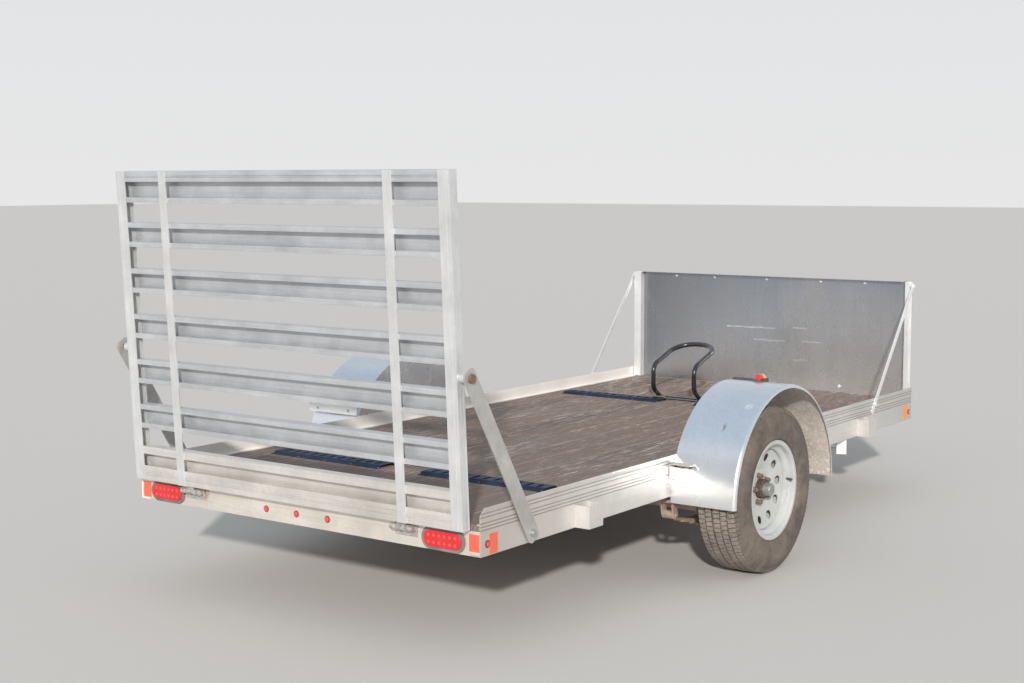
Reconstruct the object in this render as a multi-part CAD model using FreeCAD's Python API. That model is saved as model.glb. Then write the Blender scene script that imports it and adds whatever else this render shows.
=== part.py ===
import FreeCAD, Part
import math
import os

# Single-axle aluminium utility trailer. Millimetres. X is to the right, Y is forward, Z is up.
# While it is built, y = 0 is the rear end of the bed and z = 0 is the ground. At the end
# everything moves along Y so that the origin is under the middle of the overall length.

V = FreeCAD.Vector
X_AXIS = V(1, 0, 0)
Y_AXIS = V(0, 1, 0)
Z_AXIS = V(0, 0, 1)
MOVING_GAP = 0.3

# Side rails: a thin extruded wall with a bottom flange and a small lip over the deck's edge
BED_LENGTH = 3760
RAIL_OUTER_X = 854
RAIL_BOTTOM_Z = 349
RAIL_HEIGHT = 166
RAIL_WALL = 5
RAIL_FLANGE_WIDTH = 45
RAIL_FLANGE = 5
LIP_WIDTH = 12
LIP_THICKNESS = 4
RAIL_CORNER_CUT = 25
GROOVE_HEIGHTS = (91, 103, 115, 135, 147)
GROOVE_WIDTH = 3
GROOVE_DEPTH = 1.5

# Floor
CROSSMEMBER_HEIGHT = 65
CROSSMEMBER_WIDTH = 50
CROSSMEMBER_WALL = 5
CROSSMEMBER_COUNT = 7
BOARD_THICKNESS = 38
BOARD_COUNT = 12
BOARD_GAP = 1.5
END_WEB = 5
END_WEB_HEIGHT = 87
END_FLANGE_DEPTH = 45

# Tie-down strips: folded hats with rows of slots, screwed to the deck
STRIP_WIDTH = 120
STRIP_CROWN_WIDTH = 70
STRIP_HEIGHT = 11
STRIP_SHEET = 2.5
STRIP_LENGTH = 598
SLOT_PITCH = 50.8
SLOT_LONG = 48
SLOT_WIDE = 14
STRIP_REAR_Y = 645
STRIP_TO_FRONT = 855
STRIP_PLACES = [
    # node, x of the strip's middle, y of the strip's middle
    ("tie_strips_rear", -415, STRIP_REAR_Y),
    ("tie_strips_rear", 392, STRIP_REAR_Y),
    ("tie_strips_front", -467, BED_LENGTH - STRIP_TO_FRONT),
    ("tie_strips_front", 345, BED_LENGTH - STRIP_TO_FRONT),
]

# Wheel chock: a bent tube hoop on a frame of flat bars
CHOCK_X = -128
CHOCK_LEG_SPREAD = 245
CHOCK_TUBE_R = 12.7
CHOCK_TO_FRONT = 734
CHOCK_TOE_AHEAD = 26
CHOCK_TOE_DROP = 12
CHOCK_HEEL_BACK = 74
CHOCK_HEEL_RISE = 58
CHOCK_KNEE_BACK = 76
CHOCK_KNEE_RISE = 182
CHOCK_NOSE_AHEAD = 196
CHOCK_NOSE_RISE = 274
CHOCK_HEEL_BEND_R = 60
CHOCK_KNEE_BEND_R = 57
CHOCK_NOSE_BEND_R = 112
CHOCK_FOOT_Y = BED_LENGTH - CHOCK_TO_FRONT
CHOCK_NOSE_Y = CHOCK_FOOT_Y + CHOCK_NOSE_AHEAD
CHOCK_BAR_WIDTH = 34
CHOCK_BAR = 6
CHOCK_BASE_LENGTH = 104

# Front board
FRONT_BOARD_RISE = 727
BOARD_TOP_Z = RAIL_BOTTOM_Z + FRONT_BOARD_RISE
FRONT_SHEET = 3
FRONT_POST_WIDTH = 45
FRONT_POST_DEPTH = 40
FRONT_POST_WALL = 4
FRONT_POST_CLEAR = 4
FRONT_RIM_HEIGHT = 30
FRONT_STRUT_WIDTH = 24
FRONT_STRUT = 5
STRUT_TOP_BELOW = 22
STRUT_TO_FRONT = 490
STRUT_FOOT_RISE = 136
STRUT_FOOT_Y = BED_LENGTH - STRUT_TO_FRONT
STRUT_FOOT_Z = RAIL_BOTTOM_Z + STRUT_FOOT_RISE
STRUT_END_PAST = 55
STRUT_BOLT_R = 6
STRUT_BOLT_HEAD_R = 10
STRUT_BOLT_HEAD = 7

# Wheels and hubs
AXLE_Y = 1635
WHEEL_OFFSET = 182
WHEEL_X = RAIL_OUTER_X + WHEEL_OFFSET
TYRE_R = 344
TYRE_HALF_SECTION = 102
TREAD_HALF_WIDTH = 76
TREAD_GROOVES = (-46, -15.5, 15.5, 46)
TREAD_GROOVE_WIDTH = 8
TREAD_GROOVE_DEPTH = 7
SHOULDER_DROP = 4
SHOULDER_OUT = 9
SHOULDER_FALL = 22
WALL_TOP_DROP = 48
WALL_EASE = 6
BEAD_OVER_FLANGE = 2
BEAD_TO_WALL = 20
BEAD_TO_BULGE = 52
RIM_FLANGE_R = 207
RIM_SEAT_R = 190
RIM_WELL_R = 171
RIM_HALF_WIDTH = 88
RIM_SHEET = 3.5
RIM_WELL_FROM = -12
RIM_WELL_TO = 53
RIM_WELL_SLOPE = 9
DISC_FACE = 14
DISC_FLAT_R = 80
DISC_EDGE = 42
DISC_EDGE_TURN = 12
DISC_SHEET = 4
DISC_HOLE_COUNT = 10
DISC_HOLE_TURN_DEG = 25.3
DISC_HOLE_RING_R = 130
DISC_HOLE_LONG = 38
DISC_HOLE_WIDE = 31
DISC_BORE_R = 41
HUB_FLANGE_R = 72
HUB_FLANGE = 10
HUB_BARREL_R = 44
HUB_BACK = 60
HUB_NOSE = 46
HUB_CAP_R = 27
HUB_CAP_REACH = 77
HUB_CAP_EASE = 5
HUB_CAP_WALL = 12
SPINDLE_SHORT = 14
STUD_COUNT = 5
STUD_TURN_DEG = 32
STUD_RING_R = 57.15
STUD_R = 6
STUD_PAST_NUT = 4
STUD_NUT_R = 11
STUD_NUT_LENGTH = 20
SPINDLE_R = 16
SPINDLE_SHOULDER_R = 24

# Drop axle on underslung leaf springs
AXLE_DROP = 102
AXLE_TUBE_R = 30
AXLE_ARM_OFFSET = 34
AXLE_ARM_X = RAIL_OUTER_X + AXLE_ARM_OFFSET
AXLE_ARM = 20
AXLE_ARM_WIDTH = 64
SPRING_WIDTH = 45
SPRING_INSET = 40
SPRING_HALF_SPAN = 318
SPRING_CAMBER = 42
SPRING_LEAF = 7
SPRING_LEAF_SPANS = (318, 250, 180, 112)
SPRING_EYE_R = 17
SPRING_BOLT_R = 8
HANGER_PLATE = 6
HANGER_WIDTH = 56
SHACKLE_LENGTH = 58
SHACKLE_LEAN = 14
CLAMP_PLATE = 8
CLAMP_LENGTH = 96
CLAMP_ROD_R = 6
SEAT_PAD = 4

# Fenders
FENDER_AHEAD = 70
FENDER_BELOW_AXLE = 22
FENDER_OVER_TYRE = 108
FENDER_REACH = 108
FENDER_CENTRE_Y = AXLE_Y + FENDER_AHEAD
FENDER_CENTRE_Z = TYRE_R - FENDER_BELOW_AXLE
FENDER_R = TYRE_R + FENDER_OVER_TYRE
FENDER_SHEET = 3
FENDER_OUTER_X = WHEEL_X + FENDER_REACH
FENDER_OUTER_LIP = 16
FENDER_EDGE_FLAT = 14
FENDER_EDGE_STEP = 4
FENDER_BACK_LAP = 30
FENDER_LEG = 2
FENDER_BOTTOM_Z = FENDER_CENTRE_Z + FENDER_LEG
FENDER_GAP = 0.3
BRACKET_REACH = 95
BRACKET_WIDTH = 42
BRACKET_SHEET = 4
BRACKET_BELOW_TOP = 34
BRACKET_UPRIGHT = 60
FENDER_LAMP_IN = 56
FENDER_LAMP_AHEAD = 68
FENDER_LAMP_X = WHEEL_X - FENDER_LAMP_IN
FENDER_LAMP_Y = FENDER_CENTRE_Y + FENDER_LAMP_AHEAD
FENDER_LAMP_LONG = 75
FENDER_LAMP_WIDE = 40
FENDER_LAMP_HIGH = 26
FENDER_LAMP_BASE = 7
FENDER_LENS_INSET = 3
FENDER_LENS_SLOPE = 11
LAMP_STRIP_WIDE = 22
LAMP_STRIP = 4

# Stake pockets
POCKET_OUT = 63
POCKET_LENGTH = 92
POCKET_WALL = 5
POCKET_HEIGHT = 84
POCKET_REAR_Y = 614
POCKET_TO_FRONT = 652
POCKET_PLACES_Y = (POCKET_REAR_Y, BED_LENGTH - POCKET_TO_FRONT)

# Lamps on the rear crossmember and markers on the rails
LAMP_RISE = 42
LAMP_Z = RAIL_BOTTOM_Z + LAMP_RISE
TAIL_LAMP_X = 695
TAIL_LAMP_LONG = 190
TAIL_LAMP_HIGH = 82
TAIL_LAMP_RIM = 7
TAIL_LENS_LONG = 165
TAIL_LENS_HIGH = 57
TAIL_LENS = 6
TAIL_BODY_LONG = 150
TAIL_BODY_HIGH = 44
TAIL_BODY_DEPTH = 34
ID_LAMP_XS = (-155, 0, 155)
ID_LAMP_R = 13
ID_LAMP_REACH = 6
SIDE_MARKER_R = 10
SIDE_MARKER_REACH = 4
MARKER_FROM_END = 34
REAR_MARKER_RISE = 37
FRONT_MARKER_RISE = 45
SIDE_MARKER_PLACES = [
    # y, z
    (MARKER_FROM_END, RAIL_BOTTOM_Z + REAR_MARKER_RISE),
    (BED_LENGTH - MARKER_FROM_END, RAIL_BOTTOM_Z + FRONT_MARKER_RISE),
]
PLATE_LONG = 304
PLATE_HIGH = 152
PLATE_SHEET = 2
PLATE_OFF_RAIL = 146
PLATE_X = -RAIL_OUTER_X - PLATE_OFF_RAIL
PLATE_AHEAD = 26
PLATE_OVER_RAIL = 6
PLATE_Y = FENDER_CENTRE_Y - FENDER_R + PLATE_AHEAD
PLATE_BOTTOM_Z = RAIL_BOTTOM_Z + RAIL_HEIGHT + PLATE_OVER_RAIL
PLATE_FOOT_DROP = 8
PLATE_BRACKET_LONG = 100
PLATE_BRACKET_HIGH = 26
PLATE_BRACKET_SHEET = 3

# Tailgate: a ladder frame that leans back a little, with two flat straps down its rear
GATE_FOOT_Y = -53
GATE_FOOT_RISE = 92
GATE_FOOT_Z = RAIL_BOTTOM_Z + GATE_FOOT_RISE
GATE_LEAN_DEG = 3.04
GATE_HEIGHT = 1209
GATE_INSET = 33
GATE_HALF_WIDTH = RAIL_OUTER_X - GATE_INSET
GATE_DEPTH = 38
GATE_WALL = 4
GATE_POST_WIDTH = 50
POST_GROOVE_X = 31
GATE_LIP = 20
GATE_TOP_RAIL_HEIGHT = 119
GATE_FOOT_RAIL_HEIGHT = 135
GATE_FOOT_LIP = 58
FOOT_GROOVES = (37, 29)
FOOT_GROOVE_WIDTH = 2.5
FOOT_GROOVE = 1
GATE_RUNG_HEIGHT = 94
GATE_RUNG_COUNT = 5
RUNG_OVER_FOOT_RAIL = 74
RUNG_UNDER_TOP_RAIL = 76
STRAP_X = 556
STRAP_WIDTH = 40
STRAP = 5

# Gate hinges
HINGE_Y = -30
HINGE_RISE = 69
HINGE_Z = RAIL_BOTTOM_Z + HINGE_RISE
HINGE_X = 533
HINGE_WIDTH = 98
HINGE_MIDDLE = 40
HINGE_END_GAP = 1
HINGE_KNUCKLE_R = 11
HINGE_PIN_R = 7
HINGE_PLATE = 6
HINGE_PLATE_RISE = 35
HINGE_PLATE_HIGH = 50
HINGE_PLATE_BOTTOM_Z = RAIL_BOTTOM_Z + HINGE_PLATE_RISE
HINGE_PLATE_TOP_Z = HINGE_PLATE_BOTTOM_Z + HINGE_PLATE_HIGH
HINGE_ARM_HIGH = 16
HINGE_LEAF = 10

# Gate braces
BRACE_BOLT_Y = 287
BRACE_BOLT_RISE = 34
BRACE_BOLT_Z = RAIL_BOTTOM_Z + BRACE_BOLT_RISE
BRACE_WIDTH = 64
BRACE = 6
BRACE_END = 30
BRACE_CORNER = 11
BRACE_BOLT_R = 8
BRACE_WASHER_R = 17
BRACE_WASHER = 6
BRACE_HEAD_R = 13
BRACE_HEAD = 9
GATE_BOSS_UP = 523
GATE_BOSS_IN = 17
GATE_BOSS_R = 16
BOSS_SHORT_OF_RAIL = 9
GATE_BOSS_LENGTH = GATE_INSET - BOSS_SHORT_OF_RAIL
BRACE_PIN_R = 9
BRACE_PIN_HEAD_R = 16
BRACE_PIN_HEAD = 10

# Tongue, coupler and jack
TONGUE_REACH = 1180
TONGUE_UNDER_BED = 820
TONGUE_REAR_INSET = 25
TONGUE_TO_NOSE = 300
NOSE_Y = BED_LENGTH + TONGUE_REACH
TONGUE_REAR_Y = BED_LENGTH - TONGUE_UNDER_BED
TONGUE_REAR_X = RAIL_OUTER_X - TONGUE_REAR_INSET
TONGUE_FRONT_Y = NOSE_Y - TONGUE_TO_NOSE
TONGUE_FRONT_X = 58
TONGUE_WIDTH = 50
TONGUE_HEIGHT = 76
TONGUE_WALL = 4
TONGUE_BAR_AHEAD = 200
TONGUE_BAR_Y = BED_LENGTH + TONGUE_BAR_AHEAD
TONGUE_BAR_WIDTH = 60
COUPLER_OVER_TUBES = 210
COUPLER_REAR_Y = TONGUE_FRONT_Y - COUPLER_OVER_TUBES
COUPLER_NECK = 60
COUPLER_SHEET = 5
COUPLER_HIGH = 34
BALL_SOCKET_R = 25.9
SOCKET_SHELL = 7
SOCKET_MOUTH = 16
SHELL_OVER_HOUSING = 12
LATCH_LONG = 120
LATCH_WIDE = 26
LATCH_HIGH = 14
LATCH_BEHIND = 4
LATCH_NOSE = 10
LATCH_HUMP_BACK = 60
LATCH_HUMP = 20
LATCH_TAIL = 8
JACK_BEHIND_TUBES = 95
JACK_Y = TONGUE_FRONT_Y - JACK_BEHIND_TUBES
JACK_TUBE_R = 28.5
JACK_TUBE_WALL = 3.5
JACK_TUBE_DROP = 74
JACK_TUBE_RISE = 411
JACK_TUBE_BOTTOM_Z = RAIL_BOTTOM_Z - JACK_TUBE_DROP
JACK_TUBE_TOP_Z = RAIL_BOTTOM_Z + JACK_TUBE_RISE
JACK_LEG_CLEAR = 0.5
JACK_LEG_TOP_Z = 410
JACK_FOOT = 6
JACK_FOOT_SIDE = 112
JACK_PLATE = 8
JACK_PLATE_R = 60
JACK_LUG_R = 16
JACK_HEAD_R = 36
JACK_HEAD_HIGH = 60
CRANK_REACH = 150
CRANK_SHAFT = 34
CRANK_ROD_R = 7
CRANK_BAR = 8
CRANK_BAR_WIDE = 26
CRANK_GRIP_R = 12
CRANK_GRIP_LONG = 90

# Places that follow from the sizes above
RAIL_INNER_X = RAIL_OUTER_X - RAIL_WALL
RAIL_TOP_Z = RAIL_BOTTOM_Z + RAIL_HEIGHT
FLANGE_TOP_Z = RAIL_BOTTOM_Z + RAIL_FLANGE
FLANGE_TIP_X = RAIL_OUTER_X - RAIL_FLANGE_WIDTH
BOARD_BOTTOM_Z = FLANGE_TOP_Z + CROSSMEMBER_HEIGHT
DECK_Z = BOARD_BOTTOM_Z + BOARD_THICKNESS
LIP_TOP_Z = DECK_Z + LIP_THICKNESS
AXLE_Z = TYRE_R
AXLE_TUBE_Z = AXLE_Z - AXLE_DROP
BALL_Y = NOSE_Y - BALL_SOCKET_R - SOCKET_SHELL
GATE_LEAN = math.radians(GATE_LEAN_DEG)
GATE_TOP_Y = GATE_FOOT_Y - GATE_HEIGHT * math.sin(GATE_LEAN) - STRAP * math.cos(GATE_LEAN)
MIDDLE_Y = (NOSE_Y + GATE_TOP_Y) / 2

pieces = {}


def add(node, shape):
    """Keep a shape under its name; like shapes gather under one name."""
    pieces.setdefault(node, []).extend(shape.Solids)


def add_pair(node, shape):
    """A right-hand shape and its mirror image, each under a name of its own."""
    add(node + "_right", shape)
    add(node + "_left", mirrored(shape))


def add_both(node, shape):
    """A right-hand shape and its mirror image, gathered under one name."""
    add(node, shape)
    add(node, mirrored(shape))


def mirrored(shape):
    return shape.mirror(V(0, 0, 0), X_AXIS)


def box(x0, x1, y0, y1, z0, z1):
    return Part.makeBox(x1 - x0, y1 - y0, z1 - z0, V(x0, y0, z0))


def face_of(points):
    return Part.Face(Part.makePolygon(points + [points[0]]))


def prism_x(points, x0, x1):
    """Points are (y, z)."""
    return face_of([V(x0, y, z) for y, z in points]).extrude(V(x1 - x0, 0, 0))


def prism_y(points, y0, y1):
    """Points are (x, z)."""
    return face_of([V(x, y0, z) for x, z in points]).extrude(V(0, y1 - y0, 0))


def prism_z(points, z0, z1):
    """Points are (x, y)."""
    return face_of([V(x, y, z0) for x, y in points]).extrude(V(0, 0, z1 - z0))


def rod_x(radius, x0, x1, y, z):
    return Part.makeCylinder(radius, x1 - x0, V(x0, y, z), X_AXIS)


def rod_y(radius, y0, y1, x, z):
    return Part.makeCylinder(radius, y1 - y0, V(x, y0, z), Y_AXIS)


def rod_z(radius, z0, z1, x, y):
    return Part.makeCylinder(radius, z1 - z0, V(x, y, z0), Z_AXIS)


def fused(first, *others):
    return first.multiFuse(list(others)).removeSplitter()


def turned_about_x(points, x, y, z):
    """A solid of revolution about the X line through y, z. Points are (along x, radius)."""
    outline = face_of([V(x + along, y, z + radius) for along, radius in points])
    return outline.revolve(V(x, y, z), X_AXIS, 360)


def obround_y(length, height, y0, y1, x, z):
    """A flat bar end shape, long in X, with round ends, as thick as y0 to y1."""
    radius = height / 2
    reach = length / 2 - radius
    middle = box(x - reach, x + reach, y0, y1, z - radius, z + radius)
    return fused(middle, rod_y(radius, y0, y1, x - reach, z), rod_y(radius, y0, y1, x + reach, z))


def side_rail():
    outline = [
        (FLANGE_TIP_X, RAIL_BOTTOM_Z),
        (RAIL_OUTER_X, RAIL_BOTTOM_Z),
    ]
    for height in GROOVE_HEIGHTS:
        low = RAIL_BOTTOM_Z + height - GROOVE_WIDTH / 2
        high = low + GROOVE_WIDTH
        floor = RAIL_OUTER_X - GROOVE_DEPTH
        outline += [(RAIL_OUTER_X, low), (floor, low), (floor, high), (RAIL_OUTER_X, high)]
    outline += [
        (RAIL_OUTER_X, RAIL_TOP_Z),
        (RAIL_INNER_X, RAIL_TOP_Z),
        (RAIL_INNER_X, LIP_TOP_Z),
        (RAIL_INNER_X - LIP_WIDTH, LIP_TOP_Z),
        (RAIL_INNER_X - LIP_WIDTH, DECK_Z),
        (RAIL_INNER_X, DECK_Z),
        (RAIL_INNER_X, FLANGE_TOP_Z),
        (FLANGE_TIP_X, FLANGE_TOP_Z),
    ]
    rail = prism_y(outline, 0, BED_LENGTH)
    corner = [
        (0, RAIL_TOP_Z - RAIL_CORNER_CUT),
        (RAIL_CORNER_CUT, RAIL_TOP_Z),
        (0, RAIL_TOP_Z),
    ]
    return rail.cut(prism_x(corner, RAIL_INNER_X - LIP_WIDTH, RAIL_OUTER_X))


def end_crossmember(rear):
    """A channel across the bed's end, notched over the rails' bottom flanges."""
    top_z = RAIL_BOTTOM_Z + END_WEB_HEIGHT
    web = [
        (-FLANGE_TIP_X, RAIL_BOTTOM_Z),
        (FLANGE_TIP_X, RAIL_BOTTOM_Z),
        (FLANGE_TIP_X, FLANGE_TOP_Z),
        (RAIL_INNER_X, FLANGE_TOP_Z),
        (RAIL_INNER_X, top_z),
        (-RAIL_INNER_X, top_z),
        (-RAIL_INNER_X, FLANGE_TOP_Z),
        (-FLANGE_TIP_X, FLANGE_TOP_Z),
    ]
    if rear:
        plate = prism_y(web, 0, END_WEB)
        flange = box(-FLANGE_TIP_X, FLANGE_TIP_X, 0, END_FLANGE_DEPTH, RAIL_BOTTOM_Z, FLANGE_TOP_Z)
    else:
        plate = prism_y(web, BED_LENGTH - END_WEB, BED_LENGTH)
        flange_y = BED_LENGTH - END_FLANGE_DEPTH
        flange = box(-FLANGE_TIP_X, FLANGE_TIP_X, flange_y, BED_LENGTH, RAIL_BOTTOM_Z, FLANGE_TOP_Z)
    return fused(plate, flange)


def floor_crossmembers():
    pitch = BED_LENGTH / (CROSSMEMBER_COUNT + 1)
    wall = CROSSMEMBER_WALL
    for number in range(1, CROSSMEMBER_COUNT + 1):
        y0 = number * pitch - CROSSMEMBER_WIDTH / 2
        y1 = y0 + CROSSMEMBER_WIDTH
        outline = [
            (y0, FLANGE_TOP_Z),
            (y1, FLANGE_TOP_Z),
            (y1, FLANGE_TOP_Z + wall),
            (y0 + wall, FLANGE_TOP_Z + wall),
            (y0 + wall, BOARD_BOTTOM_Z - wall),
            (y1, BOARD_BOTTOM_Z - wall),
            (y1, BOARD_BOTTOM_Z),
            (y0, BOARD_BOTTOM_Z),
        ]
        add("floor_crossmembers", prism_x(outline, -RAIL_INNER_X, RAIL_INNER_X))


def deck_boards():
    width = (2 * RAIL_INNER_X - (BOARD_COUNT - 1) * BOARD_GAP) / BOARD_COUNT
    for number in range(BOARD_COUNT):
        x0 = -RAIL_INNER_X + number * (width + BOARD_GAP)
        board = box(x0, x0 + width, END_WEB, BED_LENGTH - END_WEB, BOARD_BOTTOM_Z, DECK_Z)
        add("deck_boards", board)


def tie_strip(x, y):
    half = STRIP_WIDTH / 2
    crown = STRIP_CROWN_WIDTH / 2
    flank = crown + STRIP_HEIGHT
    low = DECK_Z + STRIP_SHEET
    high = DECK_Z + STRIP_HEIGHT
    outline = [
        (y - half, DECK_Z),
        (y - flank, DECK_Z),
        (y - crown, high - STRIP_SHEET),
        (y + crown, high - STRIP_SHEET),
        (y + flank, DECK_Z),
        (y + half, DECK_Z),
        (y + half, low),
        (y + flank, low),
        (y + crown, high),
        (y - crown, high),
        (y - flank, low),
        (y - half, low),
    ]
    strip = prism_x(outline, x - STRIP_LENGTH / 2, x + STRIP_LENGTH / 2)
    count = int(STRIP_LENGTH / SLOT_PITCH)
    slots = []
    for number in range(count):
        slot_x = x + (number - (count - 1) / 2) * SLOT_PITCH
        slots.append(
            box(
                slot_x - SLOT_WIDE / 2,
                slot_x + SLOT_WIDE / 2,
                y - SLOT_LONG / 2,
                y + SLOT_LONG / 2,
                DECK_Z + STRIP_SHEET,
                high + 1,
            )
        )
    return strip.cut(Part.makeCompound(slots))


def bent_tube(corners, bends, radius):
    """A round bar along straight runs joined by tangent arcs; bends are the arcs' radii."""
    edges = []
    start = corners[0]
    for before, corner, after, bend in zip(corners, corners[1:], corners[2:], bends):
        into = (before - corner).normalize()
        out = (after - corner).normalize()
        half_turn = into.getAngle(out) / 2
        reach = bend / math.tan(half_turn)
        first = corner + into * reach
        last = corner + out * reach
        bisector = (into + out).normalize()
        middle = corner + bisector * (bend / math.sin(half_turn) - bend)
        edges.append(Part.LineSegment(start, first).toShape())
        edges.append(Part.Arc(first, middle, last).toShape())
        start = last
    edges.append(Part.LineSegment(start, corners[-1]).toShape())
    path = Part.Wire(edges)
    ring = Part.makeCircle(radius, corners[0], (corners[1] - corners[0]).normalize())
    return path.makePipeShell([Part.Wire([ring])], True, False)


def wheel_chock():
    floor = DECK_Z + CHOCK_BAR
    half = CHOCK_LEG_SPREAD / 2
    left, right = CHOCK_X - half, CHOCK_X + half
    outer = CHOCK_BAR_WIDTH / 2
    leg = [
        (CHOCK_FOOT_Y + CHOCK_TOE_AHEAD, DECK_Z - CHOCK_TOE_DROP),
        (CHOCK_FOOT_Y - CHOCK_HEEL_BACK, DECK_Z + CHOCK_HEEL_RISE),
        (CHOCK_FOOT_Y - CHOCK_KNEE_BACK, DECK_Z + CHOCK_KNEE_RISE),
        (CHOCK_NOSE_Y, DECK_Z + CHOCK_NOSE_RISE),
    ]
    corners = [V(left, y, z) for y, z in leg] + [V(right, y, z) for y, z in reversed(leg)]
    bends = [CHOCK_HEEL_BEND_R, CHOCK_KNEE_BEND_R, CHOCK_NOSE_BEND_R]
    hoop = bent_tube(corners, bends + bends[::-1], CHOCK_TUBE_R)
    toe_depth = 3 * CHOCK_TOE_DROP
    toes = box(left - outer, right + outer, leg[1][0], CHOCK_NOSE_Y, DECK_Z - toe_depth, floor)
    add("chock_hoop", hoop.cut(toes))
    y0 = CHOCK_FOOT_Y - CHOCK_BASE_LENGTH / 2
    y1 = CHOCK_FOOT_Y + CHOCK_BASE_LENGTH / 2
    frame = box(left - outer, right + outer, y0, y1, DECK_Z, floor)
    hole = box(
        left + outer, right - outer, y0 + CHOCK_BAR_WIDTH, y1 - CHOCK_BAR_WIDTH, DECK_Z, floor
    )
    add("chock_base", frame.cut(hole))


def front_board():
    outer = RAIL_INNER_X - FRONT_POST_CLEAR
    inner = outer - FRONT_POST_WIDTH
    back_y = BED_LENGTH - FRONT_SHEET
    post_y = back_y - FRONT_POST_DEPTH
    wall = FRONT_POST_WALL
    outline = [
        (inner, post_y),
        (outer, post_y),
        (outer, post_y + wall),
        (inner + wall, post_y + wall),
        (inner + wall, back_y - wall),
        (outer, back_y - wall),
        (outer, back_y),
        (inner, back_y),
    ]
    add_both("front_posts", prism_z(outline, LIP_TOP_Z, BOARD_TOP_Z))
    lip_x = RAIL_INNER_X - LIP_WIDTH - MOVING_GAP
    sheet = box(-outer, outer, back_y, BED_LENGTH, LIP_TOP_Z, BOARD_TOP_Z)
    foot = box(-lip_x, lip_x, back_y, BED_LENGTH, DECK_Z, LIP_TOP_Z)
    rim = box(
        -inner, inner, back_y - FRONT_RIM_HEIGHT, back_y, BOARD_TOP_Z - FRONT_SHEET, BOARD_TOP_Z
    )
    add("front_sheet", fused(sheet, foot, rim))


def front_strut():
    """A flat bar outside the rail, bolted to it and to the top of the front post."""
    top = V(0, BED_LENGTH - FRONT_SHEET - FRONT_POST_DEPTH / 2, BOARD_TOP_Z - STRUT_TOP_BELOW)
    foot = V(0, STRUT_FOOT_Y, STRUT_FOOT_Z)
    run = top - foot
    along = run.normalize()
    across = V(0, -along.z, along.y)
    half = FRONT_STRUT_WIDTH / 2
    low = foot - along * STRUT_END_PAST
    high = top + along * half
    corners = [low - across * half, high - across * half, high + across * half, low + across * half]
    x0 = RAIL_OUTER_X
    bar = prism_x([(p.y, p.z) for p in corners], x0, x0 + FRONT_STRUT)
    outer = x0 + FRONT_STRUT
    foot_head = rod_x(STRUT_BOLT_HEAD_R, outer, outer + STRUT_BOLT_HEAD, foot.y, foot.z)
    top_head = rod_x(STRUT_BOLT_HEAD_R, outer, outer + STRUT_BOLT_HEAD, top.y, top.z)
    post_x = RAIL_INNER_X - FRONT_POST_CLEAR
    top_bolt = rod_x(STRUT_BOLT_R, post_x, x0, top.y, top.z)
    return fused(bar, foot_head, top_head, top_bolt)


def tyre():
    """A filled casing: both walls have the same outline, and four grooves part the tread."""
    half = TYRE_HALF_SECTION
    tread = TREAD_HALF_WIDTH
    flange_x = RIM_HALF_WIDTH - 2 * RIM_SHEET - MOVING_GAP
    over_flange_r = RIM_FLANGE_R + BEAD_OVER_FLANGE
    wall = [
        (flange_x, RIM_SEAT_R + MOVING_GAP),
        (flange_x, over_flange_r),
        (half - WALL_EASE, over_flange_r + BEAD_TO_WALL),
        (half, over_flange_r + BEAD_TO_BULGE),
        (half - WALL_EASE, TYRE_R - WALL_TOP_DROP),
        (tread + SHOULDER_OUT, TYRE_R - SHOULDER_FALL),
        (tread, TYRE_R - SHOULDER_DROP),
    ]
    outline = [(-along, radius) for along, radius in wall]
    floor = TYRE_R - TREAD_GROOVE_DEPTH
    for groove in TREAD_GROOVES:
        left = groove - TREAD_GROOVE_WIDTH / 2
        right = groove + TREAD_GROOVE_WIDTH / 2
        outline += [(left, TYRE_R), (left, floor), (right, floor), (right, TYRE_R)]
    outline += reversed(wall)
    return turned_about_x(outline, WHEEL_X, AXLE_Y, AXLE_Z)


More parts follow.
